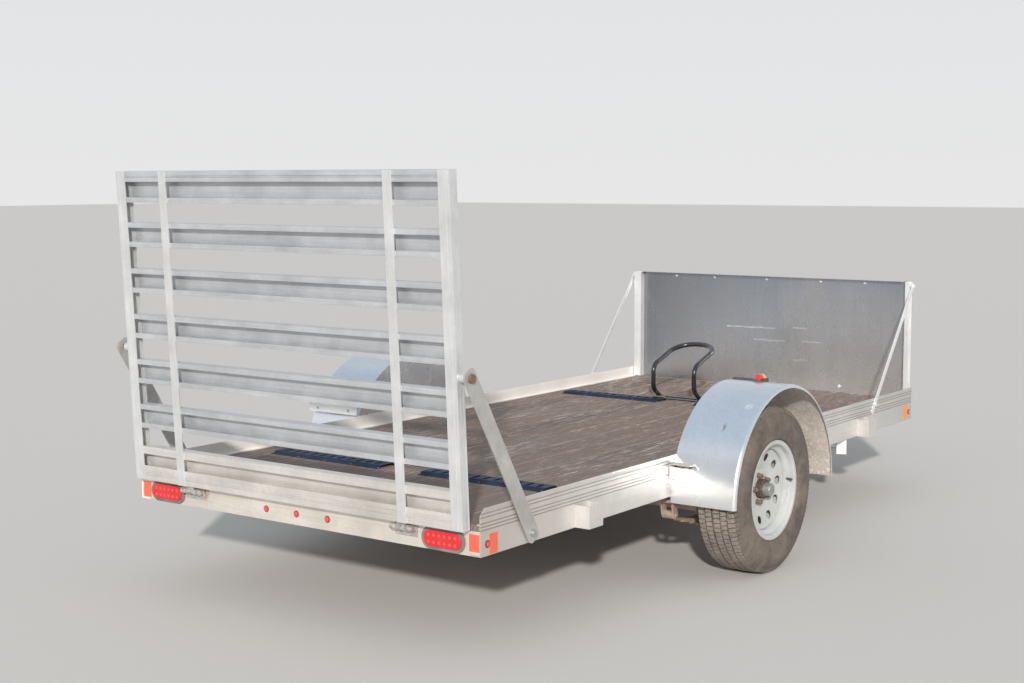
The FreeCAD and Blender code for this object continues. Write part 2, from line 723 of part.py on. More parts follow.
def rim():
    """A dropped-centre barrel with a dished disc welded into its well."""
    half = RIM_HALF_WIDTH
    sheet = RIM_SHEET
    seat = RIM_SEAT_R
    well = RIM_WELL_R
    low, high = RIM_WELL_FROM, RIM_WELL_TO
    slope = RIM_WELL_SLOPE
    barrel = [
        (-half, seat - sheet),
        (low - slope, seat - sheet),
        (low, well - sheet),
        (high, well - sheet),
        (high + slope, seat - sheet),
        (half, seat - sheet),
        (half, RIM_FLANGE_R),
        (half - 2 * sheet, RIM_FLANGE_R),
        (half - 2 * sheet, seat),
        (high + slope - sheet, seat),
        (high - sheet, well),
        (low + sheet, well),
        (low - slope + sheet, seat),
        (-half + 2 * sheet, seat),
        (-half + 2 * sheet, RIM_FLANGE_R),
        (-half, RIM_FLANGE_R),
    ]
    face = DISC_FACE
    thick = DISC_SHEET
    edge_r = well - sheet
    disc = [
        (face, DISC_BORE_R),
        (face, DISC_FLAT_R),
        (DISC_EDGE - thick, edge_r - thick),
        (DISC_EDGE - DISC_EDGE_TURN, edge_r - thick),
        (DISC_EDGE - DISC_EDGE_TURN, edge_r),
        (DISC_EDGE, edge_r),
        (face + thick, DISC_FLAT_R),
        (face + thick, DISC_BORE_R),
    ]
    wheel = fused(
        turned_about_x(barrel, WHEEL_X, AXLE_Y, AXLE_Z),
        turned_about_x(disc, WHEEL_X, AXLE_Y, AXLE_Z),
    )
    radius = DISC_HOLE_WIDE / 2
    reach = DISC_HOLE_LONG / 2 - radius
    ring_z = AXLE_Z + DISC_HOLE_RING_R
    x0, x1 = WHEEL_X, WHEEL_X + 2 * DISC_EDGE
    slot = fused(
        box(x0, x1, AXLE_Y - reach, AXLE_Y + reach, ring_z - radius, ring_z + radius),
        rod_x(radius, x0, x1, AXLE_Y - reach, ring_z),
        rod_x(radius, x0, x1, AXLE_Y + reach, ring_z),
    )
    holes = []
    for number in range(DISC_HOLE_COUNT):
        hole = slot.copy()
        angle = 360 * number / DISC_HOLE_COUNT + DISC_HOLE_TURN_DEG
        hole.rotate(V(WHEEL_X, AXLE_Y, AXLE_Z), X_AXIS, angle)
        holes.append(hole)
    for y, z in stud_places():
        holes.append(rod_x(STUD_R + MOVING_GAP, x0, x1, y, z))
    return wheel.cut(Part.makeCompound(holes))


def stud_places():
    for number in range(STUD_COUNT):
        angle = 2 * math.pi * number / STUD_COUNT + math.radians(STUD_TURN_DEG)
        yield AXLE_Y + STUD_RING_R * math.cos(angle), AXLE_Z + STUD_RING_R * math.sin(angle)


def hub():
    face = DISC_FACE
    outline = [
        (-HUB_BACK, SPINDLE_R + MOVING_GAP),
        (-HUB_BACK, HUB_BARREL_R),
        (face - HUB_FLANGE, HUB_BARREL_R),
        (face - HUB_FLANGE, HUB_FLANGE_R),
        (face, HUB_FLANGE_R),
        (face, DISC_BORE_R - MOVING_GAP),
        (HUB_NOSE, DISC_BORE_R - MOVING_GAP),
        (HUB_NOSE, HUB_CAP_R),
        (HUB_CAP_REACH - HUB_CAP_EASE, HUB_CAP_R),
        (HUB_CAP_REACH, HUB_CAP_R - HUB_CAP_EASE),
        (HUB_CAP_REACH, 0),
        (HUB_CAP_REACH - HUB_CAP_WALL, 0),
        (HUB_CAP_REACH - HUB_CAP_WALL, SPINDLE_R + MOVING_GAP),
    ]
    body = turned_about_x(outline, WHEEL_X, AXLE_Y, AXLE_Z)
    studs = []
    nut_x = WHEEL_X + DISC_FACE + DISC_SHEET
    stud_end = nut_x + STUD_NUT_LENGTH + STUD_PAST_NUT
    for y, z in stud_places():
        studs.append(rod_x(STUD_R, WHEEL_X + face - 1, stud_end, y, z))
        corners = []
        for corner in range(6):
            angle = math.pi * corner / 3
            corners.append((y + STUD_NUT_R * math.cos(angle), z + STUD_NUT_R * math.sin(angle)))
        studs.append(prism_x(corners, nut_x, nut_x + STUD_NUT_LENGTH))
    return fused(body, *studs)


def axle_beam():
    """A round tube below the wheels' centre, with an arm up to a spindle at each end."""
    arm_end = AXLE_ARM_X + AXLE_ARM
    half = AXLE_ARM_WIDTH / 2
    tube = rod_x(AXLE_TUBE_R, -AXLE_ARM_X, AXLE_ARM_X, AXLE_Y, AXLE_TUBE_Z)
    shapes = []
    arm_low = AXLE_TUBE_Z - AXLE_TUBE_R
    arm_high = AXLE_Z + SPINDLE_SHOULDER_R
    hub_back = WHEEL_X - HUB_BACK
    spindle_end = WHEEL_X + HUB_CAP_REACH - SPINDLE_SHORT
    arm = box(AXLE_ARM_X, arm_end, AXLE_Y - half, AXLE_Y + half, arm_low, arm_high)
    shoulder = rod_x(SPINDLE_SHOULDER_R, arm_end, hub_back - MOVING_GAP, AXLE_Y, AXLE_Z)
    spindle = rod_x(SPINDLE_R, arm_end, spindle_end, AXLE_Y, AXLE_Z)
    for shape in (arm, shoulder, spindle):
        shapes += [shape, mirrored(shape)]
    return fused(tube, *shapes)


def spring_x():
    """The springs' middle, under the rail's bottom flange."""
    return RAIL_OUTER_X - SPRING_INSET


def leaf_spring():
    x0 = spring_x() - SPRING_WIDTH / 2
    x1 = spring_x() + SPRING_WIDTH / 2
    top_z = AXLE_TUBE_Z - AXLE_TUBE_R - SEAT_PAD
    arc_r = (SPRING_HALF_SPAN**2 + SPRING_CAMBER**2) / (2 * SPRING_CAMBER)
    centre_z = top_z + arc_r
    shapes = []
    for number, span in enumerate(SPRING_LEAF_SPANS):
        inner = arc_r + number * SPRING_LEAF
        outer = inner + SPRING_LEAF
        turn = math.asin(span / inner)
        ring = [
            leaf_point(centre_z, inner, -turn),
            leaf_point(centre_z, inner, 0),
            leaf_point(centre_z, inner, turn),
            leaf_point(centre_z, outer, turn),
            leaf_point(centre_z, outer, 0),
            leaf_point(centre_z, outer, -turn),
        ]
        edges = [
            Part.Arc(ring[0], ring[1], ring[2]).toShape(),
            Part.LineSegment(ring[2], ring[3]).toShape(),
            Part.Arc(ring[3], ring[4], ring[5]).toShape(),
            Part.LineSegment(ring[5], ring[0]).toShape(),
        ]
        leaf = Part.Face(Part.Wire(edges)).extrude(V(x1 - x0, 0, 0))
        leaf.translate(V(x0, 0, 0))
        shapes.append(leaf)
    for sign in (-1, 1):
        y, z = spring_eye(sign)
        shapes.append(rod_x(SPRING_EYE_R, x0, x1, y, z))
    spring = fused(*shapes)
    for sign in (-1, 1):
        y, z = spring_eye(sign)
        spring = spring.cut(rod_x(SPRING_BOLT_R + MOVING_GAP, x0, x1, y, z))
    return spring


def leaf_point(centre_z, radius, turn):
    return V(0, AXLE_Y + radius * math.sin(turn), centre_z - radius * math.cos(turn))


def spring_eye(sign):
    z = AXLE_TUBE_Z - AXLE_TUBE_R - SEAT_PAD + SPRING_CAMBER + SPRING_EYE_R - SPRING_LEAF
    return AXLE_Y + sign * SPRING_HALF_SPAN, z


def spring_hangers():
    """Front: a bracket down to the spring's eye. Rear: a shorter bracket with shackle links."""
    inner_x = spring_x() - SPRING_WIDTH / 2 - MOVING_GAP
    outer_x = spring_x() + SPRING_WIDTH / 2 + MOVING_GAP
    half = HANGER_WIDTH / 2
    plate = HANGER_PLATE
    front_y, front_z = spring_eye(1)
    rear_y, rear_z = spring_eye(-1)
    lean = math.radians(SHACKLE_LEAN)
    pivot_y = rear_y - SHACKLE_LENGTH * math.sin(lean)
    pivot_z = rear_z + SHACKLE_LENGTH * math.cos(lean)

    def bracket(y, z, inner, outer):
        """Two plates under a flat roof, with the bolt through them."""
        sides = []
        for x0 in (inner - plate, outer):
            outline = [
                (y - half, RAIL_BOTTOM_Z - plate),
                (y - SPRING_EYE_R, z - SPRING_EYE_R),
                (y + SPRING_EYE_R, z - SPRING_EYE_R),
                (y + half, RAIL_BOTTOM_Z - plate),
            ]
            sides.append(prism_x(outline, x0, x0 + plate))
        roof = box(
            inner - plate, outer + plate, y - half, y + half, RAIL_BOTTOM_Z - plate, RAIL_BOTTOM_Z
        )
        bolt = rod_x(SPRING_BOLT_R, inner - 2 * plate, outer + 2 * plate, y, z)
        return fused(roof, bolt, *sides)

    add_both("spring_hangers", bracket(front_y, front_z, inner_x, outer_x))
    gap = plate + MOVING_GAP
    add_both("spring_hangers", bracket(pivot_y, pivot_z, inner_x - gap, outer_x + gap))
    links = []
    for x0 in (inner_x - plate, outer_x):
        link = fused(
            rod_x(SPRING_EYE_R, x0, x0 + plate, rear_y, rear_z),
            rod_x(SPRING_EYE_R, x0, x0 + plate, pivot_y, pivot_z),
            shackle_bar(x0, pivot_y, pivot_z, rear_y, rear_z),
        )
        links.append(link.cut(rod_x(SPRING_BOLT_R + MOVING_GAP, x0, x0 + plate, pivot_y, pivot_z)))
    bolt = rod_x(SPRING_BOLT_R, inner_x - 2 * plate, outer_x + 2 * plate, rear_y, rear_z)
    add_both("spring_shackles", fused(bolt, *links))


def shackle_bar(x0, y0, z0, y1, z1):
    along = V(0, y1 - y0, z1 - z0).normalize()
    across = V(0, -along.z, along.y) * SPRING_EYE_R
    corners = [
        (y0 - across.y, z0 - across.z),
        (y1 - across.y, z1 - across.z),
        (y1 + across.y, z1 + across.z),
        (y0 + across.y, z0 + across.z),
    ]
    return prism_x(corners, x0, x0 + HANGER_PLATE)


def spring_clamp():
    """A pad on the spring, a plate under it and two bent rods over the axle tube."""
    stack = SPRING_LEAF * len(SPRING_LEAF_SPANS)
    pad_top = AXLE_TUBE_Z - AXLE_TUBE_R
    plate_top = pad_top - SEAT_PAD - stack
    plate_bottom = plate_top - CLAMP_PLATE
    half = CLAMP_LENGTH / 2
    rod_gap = AXLE_TUBE_R + CLAMP_ROD_R
    side = SPRING_WIDTH / 2 + CLAMP_ROD_R + 1
    x = spring_x()
    plate = box(
        x - side - 10, x + side + 10, AXLE_Y - half, AXLE_Y + half, plate_bottom, plate_top
    )
    shapes = [plate]
    for rod_x_place in (x - side, x + side):
        ring = Part.makeTorus(
            rod_gap, CLAMP_ROD_R, V(rod_x_place, AXLE_Y, AXLE_TUBE_Z), X_AXIS, -180, 180, 360
        )
        lower = box(
            rod_x_place - 20,
            rod_x_place + 20,
            AXLE_Y - 2 * rod_gap,
            AXLE_Y + 2 * rod_gap,
            AXLE_TUBE_Z - 2 * rod_gap,
            AXLE_TUBE_Z,
        )
        shapes.append(ring.cut(lower))
        for y in (AXLE_Y - rod_gap, AXLE_Y + rod_gap):
            shapes.append(rod_z(CLAMP_ROD_R, plate_bottom - 14, AXLE_TUBE_Z, rod_x_place, y))
    return fused(*shapes)


def fender():
    """A rolled sheet over the wheel, rounded down along its outer edge, with a flat back."""
    inner_x = RAIL_OUTER_X + FENDER_GAP
    width = FENDER_OUTER_X - inner_x
    r = FENDER_R
    s = FENDER_SHEET
    flat = FENDER_EDGE_FLAT
    step = FENDER_EDGE_STEP
    lip = FENDER_OUTER_LIP
    outline = [
        (0, r),
        (width - flat, r),
        (width - step, r - step),
        (width, r - lip),
        (width - s, r - lip),
        (width - s - step, r - s - step),
        (width - flat - 1, r - s),
        (0, r - s),
    ]
    face = face_of([V(inner_x + x, FENDER_CENTRE_Y, FENDER_CENTRE_Z + radius) for x, radius in outline])
    ring = face.revolve(V(0, FENDER_CENTRE_Y, FENDER_CENTRE_Z), X_AXIS, 360)
    below = box(
        inner_x - 1,
        FENDER_OUTER_X + 1,
        FENDER_CENTRE_Y - 2 * r,
        FENDER_CENTRE_Y + 2 * r,
        FENDER_CENTRE_Z - 2 * r,
        FENDER_BOTTOM_Z,
    )
    back = rod_x(r - s / 2, inner_x, inner_x + s, FENDER_CENTRE_Y, FENDER_CENTRE_Z)
    above = box(
        inner_x,
        inner_x + s,
        FENDER_CENTRE_Y - r,
        FENDER_CENTRE_Y + r,
        RAIL_TOP_Z - FENDER_BACK_LAP,
        FENDER_CENTRE_Z + r,
    )
    return fused(ring.cut(below), back.common(above))


def fender_bracket(sign):
    """An angle from the rail to the fender's rear or front skin."""
    z = RAIL_TOP_Z - BRACKET_BELOW_TOP
    reach = math.sqrt(FENDER_R**2 - (z - FENDER_CENTRE_Z) ** 2)
    skin_y = FENDER_CENTRE_Y + sign * reach
    y0, y1 = sorted((skin_y - sign * BRACKET_WIDTH / 4, skin_y + sign * BRACKET_WIDTH))
    x0 = RAIL_OUTER_X
    shelf = box(x0, x0 + BRACKET_REACH, y0, y1, z, z + BRACKET_SHEET)
    upright = box(x0, x0 + BRACKET_SHEET, y0, y1, z - BRACKET_UPRIGHT, z)
    drum = rod_x(FENDER_R, x0, x0 + BRACKET_REACH, FENDER_CENTRE_Y, FENDER_CENTRE_Z)
    return fused(shelf, upright).cut(drum)


def fender_lamp():
    """A dark base with a domed lens past the fender's crown, and a flat strip to the rail."""
    top = FENDER_CENTRE_Z + FENDER_R
    half_long = FENDER_LAMP_LONG / 2
    half_wide = FENDER_LAMP_WIDE / 2
    half_strip = LAMP_STRIP_WIDE / 2
    low = top - FENDER_LAMP_LONG
    x, y = FENDER_LAMP_X, FENDER_LAMP_Y
    inset = FENDER_LENS_INSET
    outline = [
        (y - half_long, low),
        (y + half_long, low),
        (y + half_long, top + FENDER_LAMP_BASE),
        (y + half_long - inset, top + FENDER_LAMP_BASE),
        (y + half_long - FENDER_LENS_SLOPE, top + FENDER_LAMP_HIGH),
        (y - half_long + FENDER_LENS_SLOPE, top + FENDER_LAMP_HIGH),
        (y - half_long + inset, top + FENDER_LAMP_BASE),
        (y - half_long, top + FENDER_LAMP_BASE),
    ]
    lamp = prism_x(outline, x - half_wide, x + half_wide)
    strip_x = RAIL_OUTER_X + FENDER_GAP
    strip = box(strip_x, x, y - half_strip, y + half_strip, low, top + LAMP_STRIP)
    drum = rod_x(FENDER_R, strip_x, x + half_wide, FENDER_CENTRE_Y, FENDER_CENTRE_Z)
    return fused(lamp, strip).cut(drum)


def stake_pocket(y):
    """Three walls of sheet welded to the rail, open above and below."""
    x0 = RAIL_OUTER_X
    x1 = x0 + POCKET_OUT
    y0, y1 = y - POCKET_LENGTH / 2, y + POCKET_LENGTH / 2
    wall = POCKET_WALL
    outline = [
        (x0, y0),
        (x1, y0),
        (x1, y1),
        (x0, y1),
        (x0, y1 - wall),
        (x1 - wall, y1 - wall),
        (x1 - wall, y0 + wall),
        (x0, y0 + wall),
    ]
    return prism_z(outline, RAIL_BOTTOM_Z, RAIL_BOTTOM_Z + POCKET_HEIGHT)


def tail_lamp():
    x = TAIL_LAMP_X
    lens_y = -TAIL_LAMP_RIM - TAIL_LENS
    return fused(
        obround_y(TAIL_LAMP_LONG, TAIL_LAMP_HIGH, -TAIL_LAMP_RIM, 0, x, LAMP_Z),
        obround_y(TAIL_LENS_LONG, TAIL_LENS_HIGH, lens_y, -TAIL_LAMP_RIM, x, LAMP_Z),
        obround_y(TAIL_BODY_LONG, TAIL_BODY_HIGH, 0, TAIL_BODY_DEPTH, x, LAMP_Z),
    )


def lamp_hole(x):
    return obround_y(
        TAIL_BODY_LONG + 2 * MOVING_GAP,
        TAIL_BODY_HIGH + 2 * MOVING_GAP,
        0,
        END_WEB,
        x,
        LAMP_Z,
    )


def blank_plate():
    """A bare licence plate on a small angle behind the left fender."""
    half = PLATE_LONG / 2
    y0, y1 = PLATE_Y, PLATE_Y + PLATE_SHEET
    top_z = PLATE_BOTTOM_Z + PLATE_HIGH
    add("blank_plate", box(PLATE_X - half, PLATE_X + half, y0, y1, PLATE_BOTTOM_Z, top_z))
    z0 = PLATE_BOTTOM_Z + PLATE_FOOT_DROP
    sheet = PLATE_BRACKET_SHEET
    x0 = PLATE_X - PLATE_BRACKET_LONG / 2
    x1 = PLATE_X + PLATE_BRACKET_LONG / 2
    back = box(x0, x1, y1, y1 + sheet, z0, z0 + PLATE_BRACKET_HIGH)
    shelf = box(x0, x1, y1 + sheet, FENDER_CENTRE_Y, z0, z0 + sheet)
    drum = rod_x(FENDER_R, x0, x1, FENDER_CENTRE_Y, FENDER_CENTRE_Z)
    add("plate_bracket", fused(back, shelf).cut(drum))


def leaned(shape):
    """From the gate's own frame (x, depth, height) to its place on the trailer."""
    shape.rotate(V(0, 0, 0), X_AXIS, GATE_LEAN_DEG)
    shape.translate(V(0, GATE_FOOT_Y, GATE_FOOT_Z))
    return shape


def gate_point(depth, height):
    """Where a point of the gate's own frame stands, as (y, z)."""
    y = GATE_FOOT_Y + depth * math.cos(GATE_LEAN) - height * math.sin(GATE_LEAN)
    z = GATE_FOOT_Z + depth * math.sin(GATE_LEAN) + height * math.cos(GATE_LEAN)
    return y, z


def gate_frame_point(y, z):
    """The gate's own depth and height of a point of the trailer."""
    dy, dz = y - GATE_FOOT_Y, z - GATE_FOOT_Z
    depth = dy * math.cos(GATE_LEAN) + dz * math.sin(GATE_LEAN)
    height = -dy * math.sin(GATE_LEAN) + dz * math.cos(GATE_LEAN)
    return depth, height


def lipped_channel(foot, height, low_lip, high_lip, grooves=()):
    """A channel across the gate, open to the rear between its two lips."""
    wall = GATE_WALL
    top = foot + height
    half = GATE_HALF_WIDTH - GATE_POST_WIDTH
    outline = [
        (0, foot),
        (GATE_DEPTH, foot),
        (GATE_DEPTH, top),
        (0, top),
        (0, top - high_lip),
        (wall, top - high_lip),
        (wall, top - wall),
        (GATE_DEPTH - wall, top - wall),
        (GATE_DEPTH - wall, foot + wall),
        (wall, foot + wall),
        (wall, foot + low_lip),
        (0, foot + low_lip),
    ]
    for groove in grooves:
        low = foot + groove
        high = low + FOOT_GROOVE_WIDTH
        outline += [(0, high), (FOOT_GROOVE, high), (FOOT_GROOVE, low), (0, low)]
    return leaned(prism_x(outline, -half, half))


def gate():
    half = GATE_HALF_WIDTH
    wall = GATE_WALL
    inner = half - GATE_POST_WIDTH
    post = [
        (inner, 0),
        (inner + POST_GROOVE_X, 0),
        (inner + POST_GROOVE_X, FOOT_GROOVE),
        (inner + POST_GROOVE_X + FOOT_GROOVE_WIDTH, FOOT_GROOVE),
        (inner + POST_GROOVE_X + FOOT_GROOVE_WIDTH, 0),
        (half, 0),
        (half, GATE_DEPTH),
        (inner, GATE_DEPTH),
    ]
    core = [
        (inner + wall, wall),
        (half - wall, wall),
        (half - wall, GATE_DEPTH - wall),
        (inner + wall, GATE_DEPTH - wall),
    ]
    tube = prism_z(post, 0, GATE_HEIGHT).cut(prism_z(core, wall, GATE_HEIGHT - wall))
    boss = rod_x(GATE_BOSS_R, half, half + GATE_BOSS_LENGTH, GATE_BOSS_IN, GATE_BOSS_UP)
    add_pair("gate_post", leaned(fused(tube, boss)))
    top_foot = GATE_HEIGHT - GATE_TOP_RAIL_HEIGHT
    add("gate_top_rail", lipped_channel(top_foot, GATE_TOP_RAIL_HEIGHT, GATE_LIP, 2 * GATE_LIP))
    foot_rail = lipped_channel(
        0, GATE_FOOT_RAIL_HEIGHT, GATE_FOOT_LIP, 1.5 * GATE_LIP, FOOT_GROOVES
    )
    add("gate_foot_rail", foot_rail)
    first = GATE_FOOT_RAIL_HEIGHT + RUNG_OVER_FOOT_RAIL
    last = top_foot - RUNG_UNDER_TOP_RAIL - GATE_RUNG_HEIGHT
    for number in range(GATE_RUNG_COUNT):
        foot = first + (last - first) * number / (GATE_RUNG_COUNT - 1)
        add("gate_rungs", lipped_channel(foot, GATE_RUNG_HEIGHT, GATE_LIP, GATE_LIP))
    strap = box(
        STRAP_X - STRAP_WIDTH / 2, STRAP_X + STRAP_WIDTH / 2, -STRAP, 0, 0, GATE_HEIGHT
    )
    add_both("gate_straps", leaned(strap))


def hinge_spans():
    """The x of the hinge's two outer knuckles and of its middle one, from its own middle."""
    half = HINGE_WIDTH / 2
    middle = HINGE_MIDDLE / 2
    return (-half, -middle - HINGE_END_GAP), (-middle, middle), (middle + HINGE_END_GAP, half)


def gate_hinges():
    left_span, middle_span, right_span = hinge_spans()
    half = HINGE_WIDTH / 2
    shapes = [
        box(
            HINGE_X - half,
            HINGE_X + half,
            -HINGE_PLATE,
            0,
            HINGE_PLATE_BOTTOM_Z,
            HINGE_PLATE_TOP_Z,
        ),
        rod_x(HINGE_PIN_R, HINGE_X - half - 4, HINGE_X + half + 4, HINGE_Y, HINGE_Z),
    ]
    arm = HINGE_ARM_HIGH / 2
    for low, high in (left_span, right_span):
        x0, x1 = HINGE_X + low, HINGE_X + high
        shapes.append(rod_x(HINGE_KNUCKLE_R, x0, x1, HINGE_Y, HINGE_Z))
        shapes.append(box(x0, x1, HINGE_Y, -HINGE_PLATE, HINGE_Z - arm, HINGE_Z + arm))
    add_both("hinge_brackets", fused(*shapes))
    depth, height = gate_frame_point(HINGE_Y, HINGE_Z)
    low, high = middle_span
    x0, x1 = HINGE_X + low, HINGE_X + high
    knuckle = rod_x(HINGE_KNUCKLE_R, x0, x1, depth, height)
    tab = box(x0, x1, depth - HINGE_LEAF / 2, depth + HINGE_LEAF / 2, height, 0)
    bore = rod_x(HINGE_PIN_R + MOVING_GAP, x0, x1, depth, height)
    add_both("hinge_leaves", leaned(fused(knuckle, tab).cut(bore)))


def gate_braces():
    """A flat bar on each side from a bolt in the rail up to the gate's boss."""
    pin_y, pin_z = gate_point(GATE_BOSS_IN, GATE_BOSS_UP)
    bolt = V(0, BRACE_BOLT_Y, BRACE_BOLT_Z)
    pin = V(0, pin_y, pin_z)
    along = (pin - bolt).normalize()
    across = V(0, -along.z, along.y)
    half = BRACE_WIDTH / 2
    corners = []
    for end, outward in ((bolt, -BRACE_END), (pin, BRACE_END)):
        inward = outward - math.copysign(BRACE_CORNER, outward)
        side = math.copysign(1, outward)
        corners += [
            end + along * inward - across * half * side,
            end + along * outward - across * (half - BRACE_CORNER) * side,
            end + along * outward + across * (half - BRACE_CORNER) * side,
            end + along * inward + across * half * side,
        ]
    x0 = RAIL_OUTER_X + BRACE_WASHER + MOVING_GAP
    x1 = x0 + BRACE
    bar = prism_x([(p.y, p.z) for p in corners], x0, x1)
    bar = bar.cut(rod_x(BRACE_BOLT_R + MOVING_GAP, x0, x1, bolt.y, bolt.z))
    bar = bar.cut(rod_x(BRACE_PIN_R, x0, x1, pin_y, pin_z))
    add_pair("brace", bar)
    pin_x = GATE_HALF_WIDTH + GATE_BOSS_LENGTH + MOVING_GAP
    brace_pin = fused(
        rod_x(BRACE_PIN_R, pin_x, x1, pin_y, pin_z),
        rod_x(BRACE_PIN_HEAD_R, x1, x1 + BRACE_PIN_HEAD, pin_y, pin_z),
    )
    add_pair("brace_pin", brace_pin)
    head_x = x1 + MOVING_GAP
    rail_bolt = fused(
        rod_x(BRACE_WASHER_R, RAIL_OUTER_X, RAIL_OUTER_X + BRACE_WASHER, bolt.y, bolt.z),
        rod_x(BRACE_BOLT_R, RAIL_OUTER_X, head_x, bolt.y, bolt.z),
        rod_x(BRACE_HEAD_R, head_x, head_x + BRACE_HEAD, bolt.y, bolt.z),
    )
    add_both("brace_bolts", rail_bolt)


def tongue_line():
    """The rear and front ends of the right tongue tube's middle line, and its directions."""
    rear = V(TONGUE_REAR_X, TONGUE_REAR_Y, 0)
    front = V(TONGUE_FRONT_X, TONGUE_FRONT_Y, 0)
    along = (front - rear).normalize()
    across = V(along.y, -along.x, 0)
    return rear, front, along, across


def tongue_x(y):
    """The x of the right tongue tube's middle line where it passes y."""
    share = (y - TONGUE_REAR_Y) / (TONGUE_FRONT_Y - TONGUE_REAR_Y)
    return TONGUE_REAR_X + share * (TONGUE_FRONT_X - TONGUE_REAR_X)


def tongue():
    rear, front, along, across = tongue_line()
    low_z = RAIL_BOTTOM_Z - TONGUE_HEIGHT
    half = TONGUE_WIDTH / 2
    side = across * half
    corners = [rear - side, rear + side, front + side, front - side]
    outer = prism_z([(p.x, p.y) for p in corners], low_z, RAIL_BOTTOM_Z)
    thin = across * (half - TONGUE_WALL)
    corners = [rear - thin, rear + thin, front + thin, front - thin]
    hollow = prism_z(
        [(p.x, p.y) for p in corners], low_z + TONGUE_WALL, RAIL_BOTTOM_Z - TONGUE_WALL
    )
    add_pair("tongue_tube", outer.cut(hollow))
    slant = half / across.x
    y0, y1 = TONGUE_BAR_Y - TONGUE_BAR_WIDTH / 2, TONGUE_BAR_Y + TONGUE_BAR_WIDTH / 2
    bar = [
        (-tongue_x(y0) + slant, y0),
        (tongue_x(y0) - slant, y0),
        (tongue_x(y1) - slant, y1),
        (-tongue_x(y1) + slant, y1),
    ]
    add("tongue_bar", prism_z(bar, low_z, RAIL_BOTTOM_Z))


def coupler():
    """A pressed housing over the two tubes that narrows to a ball socket."""
    shell_r = BALL_SOCKET_R + SOCKET_SHELL
    slant = TONGUE_WIDTH / 2 / tongue_line()[3].x
    top_z = RAIL_BOTTOM_Z + COUPLER_HIGH
    sheet = COUPLER_SHEET
    rear_x = tongue_x(COUPLER_REAR_Y) + slant
    front_x = TONGUE_FRONT_X + slant
    outline = [
        (-rear_x, COUPLER_REAR_Y),
        (rear_x, COUPLER_REAR_Y),
        (front_x, TONGUE_FRONT_Y),
        (shell_r, BALL_Y - COUPLER_NECK),
        (shell_r, BALL_Y),
        (-shell_r, BALL_Y),
        (-shell_r, BALL_Y - COUPLER_NECK),
        (-front_x, TONGUE_FRONT_Y),
    ]
    core = [
        (-rear_x + sheet, COUPLER_REAR_Y - 1),
        (rear_x - sheet, COUPLER_REAR_Y - 1),
        (front_x - sheet, TONGUE_FRONT_Y + sheet),
        (shell_r - sheet, BALL_Y - COUPLER_NECK),
        (shell_r - sheet, BALL_Y - BALL_SOCKET_R),
        (-shell_r + sheet, BALL_Y - BALL_SOCKET_R),
        (-shell_r + sheet, BALL_Y - COUPLER_NECK),
        (-front_x + sheet, TONGUE_FRONT_Y + sheet),
    ]
    body = prism_z(outline, RAIL_BOTTOM_Z, top_z).cut(prism_z(core, RAIL_BOTTOM_Z, top_z - sheet))
    ball_z = socket_z()
    mouth_z = ball_z - SOCKET_MOUTH
    shell = fused(
        Part.makeSphere(shell_r, V(0, BALL_Y, ball_z)),
        rod_z(shell_r, mouth_z, ball_z, 0, BALL_Y),
    )
    below = box(-shell_r, shell_r, BALL_Y - shell_r, BALL_Y + shell_r, ball_z - shell_r, mouth_z)
    body = fused(body, shell.cut(below))
    body = body.cut(Part.makeSphere(BALL_SOCKET_R, V(0, BALL_Y, ball_z)))
    body = body.cut(rod_z(BALL_SOCKET_R, mouth_z - 1, ball_z, 0, BALL_Y))
    jack_hole = rod_z(JACK_TUBE_R + MOVING_GAP, RAIL_BOTTOM_Z, top_z + 1, 0, JACK_Y)
    return body.cut(jack_hole)


def socket_z():
    """The ball's centre: its shell stands a little over the housing."""
    return RAIL_BOTTOM_Z + COUPLER_HIGH - BALL_SOCKET_R - SOCKET_SHELL + SHELL_OVER_HOUSING


def coupler_latch():
    z = RAIL_BOTTOM_Z + COUPLER_HIGH
    y1 = BALL_Y - BALL_SOCKET_R - SOCKET_SHELL - LATCH_BEHIND
    y0 = y1 - LATCH_LONG
    half = LATCH_WIDE / 2
    outline = [
        (y0, z),
        (y1, z),
        (y1 - LATCH_NOSE, z + LATCH_HIGH),
        (y0 + LATCH_HUMP_BACK, z + LATCH_HUMP),
        (y0, z + LATCH_TAIL),
    ]
    return prism_x(outline, -half, half)


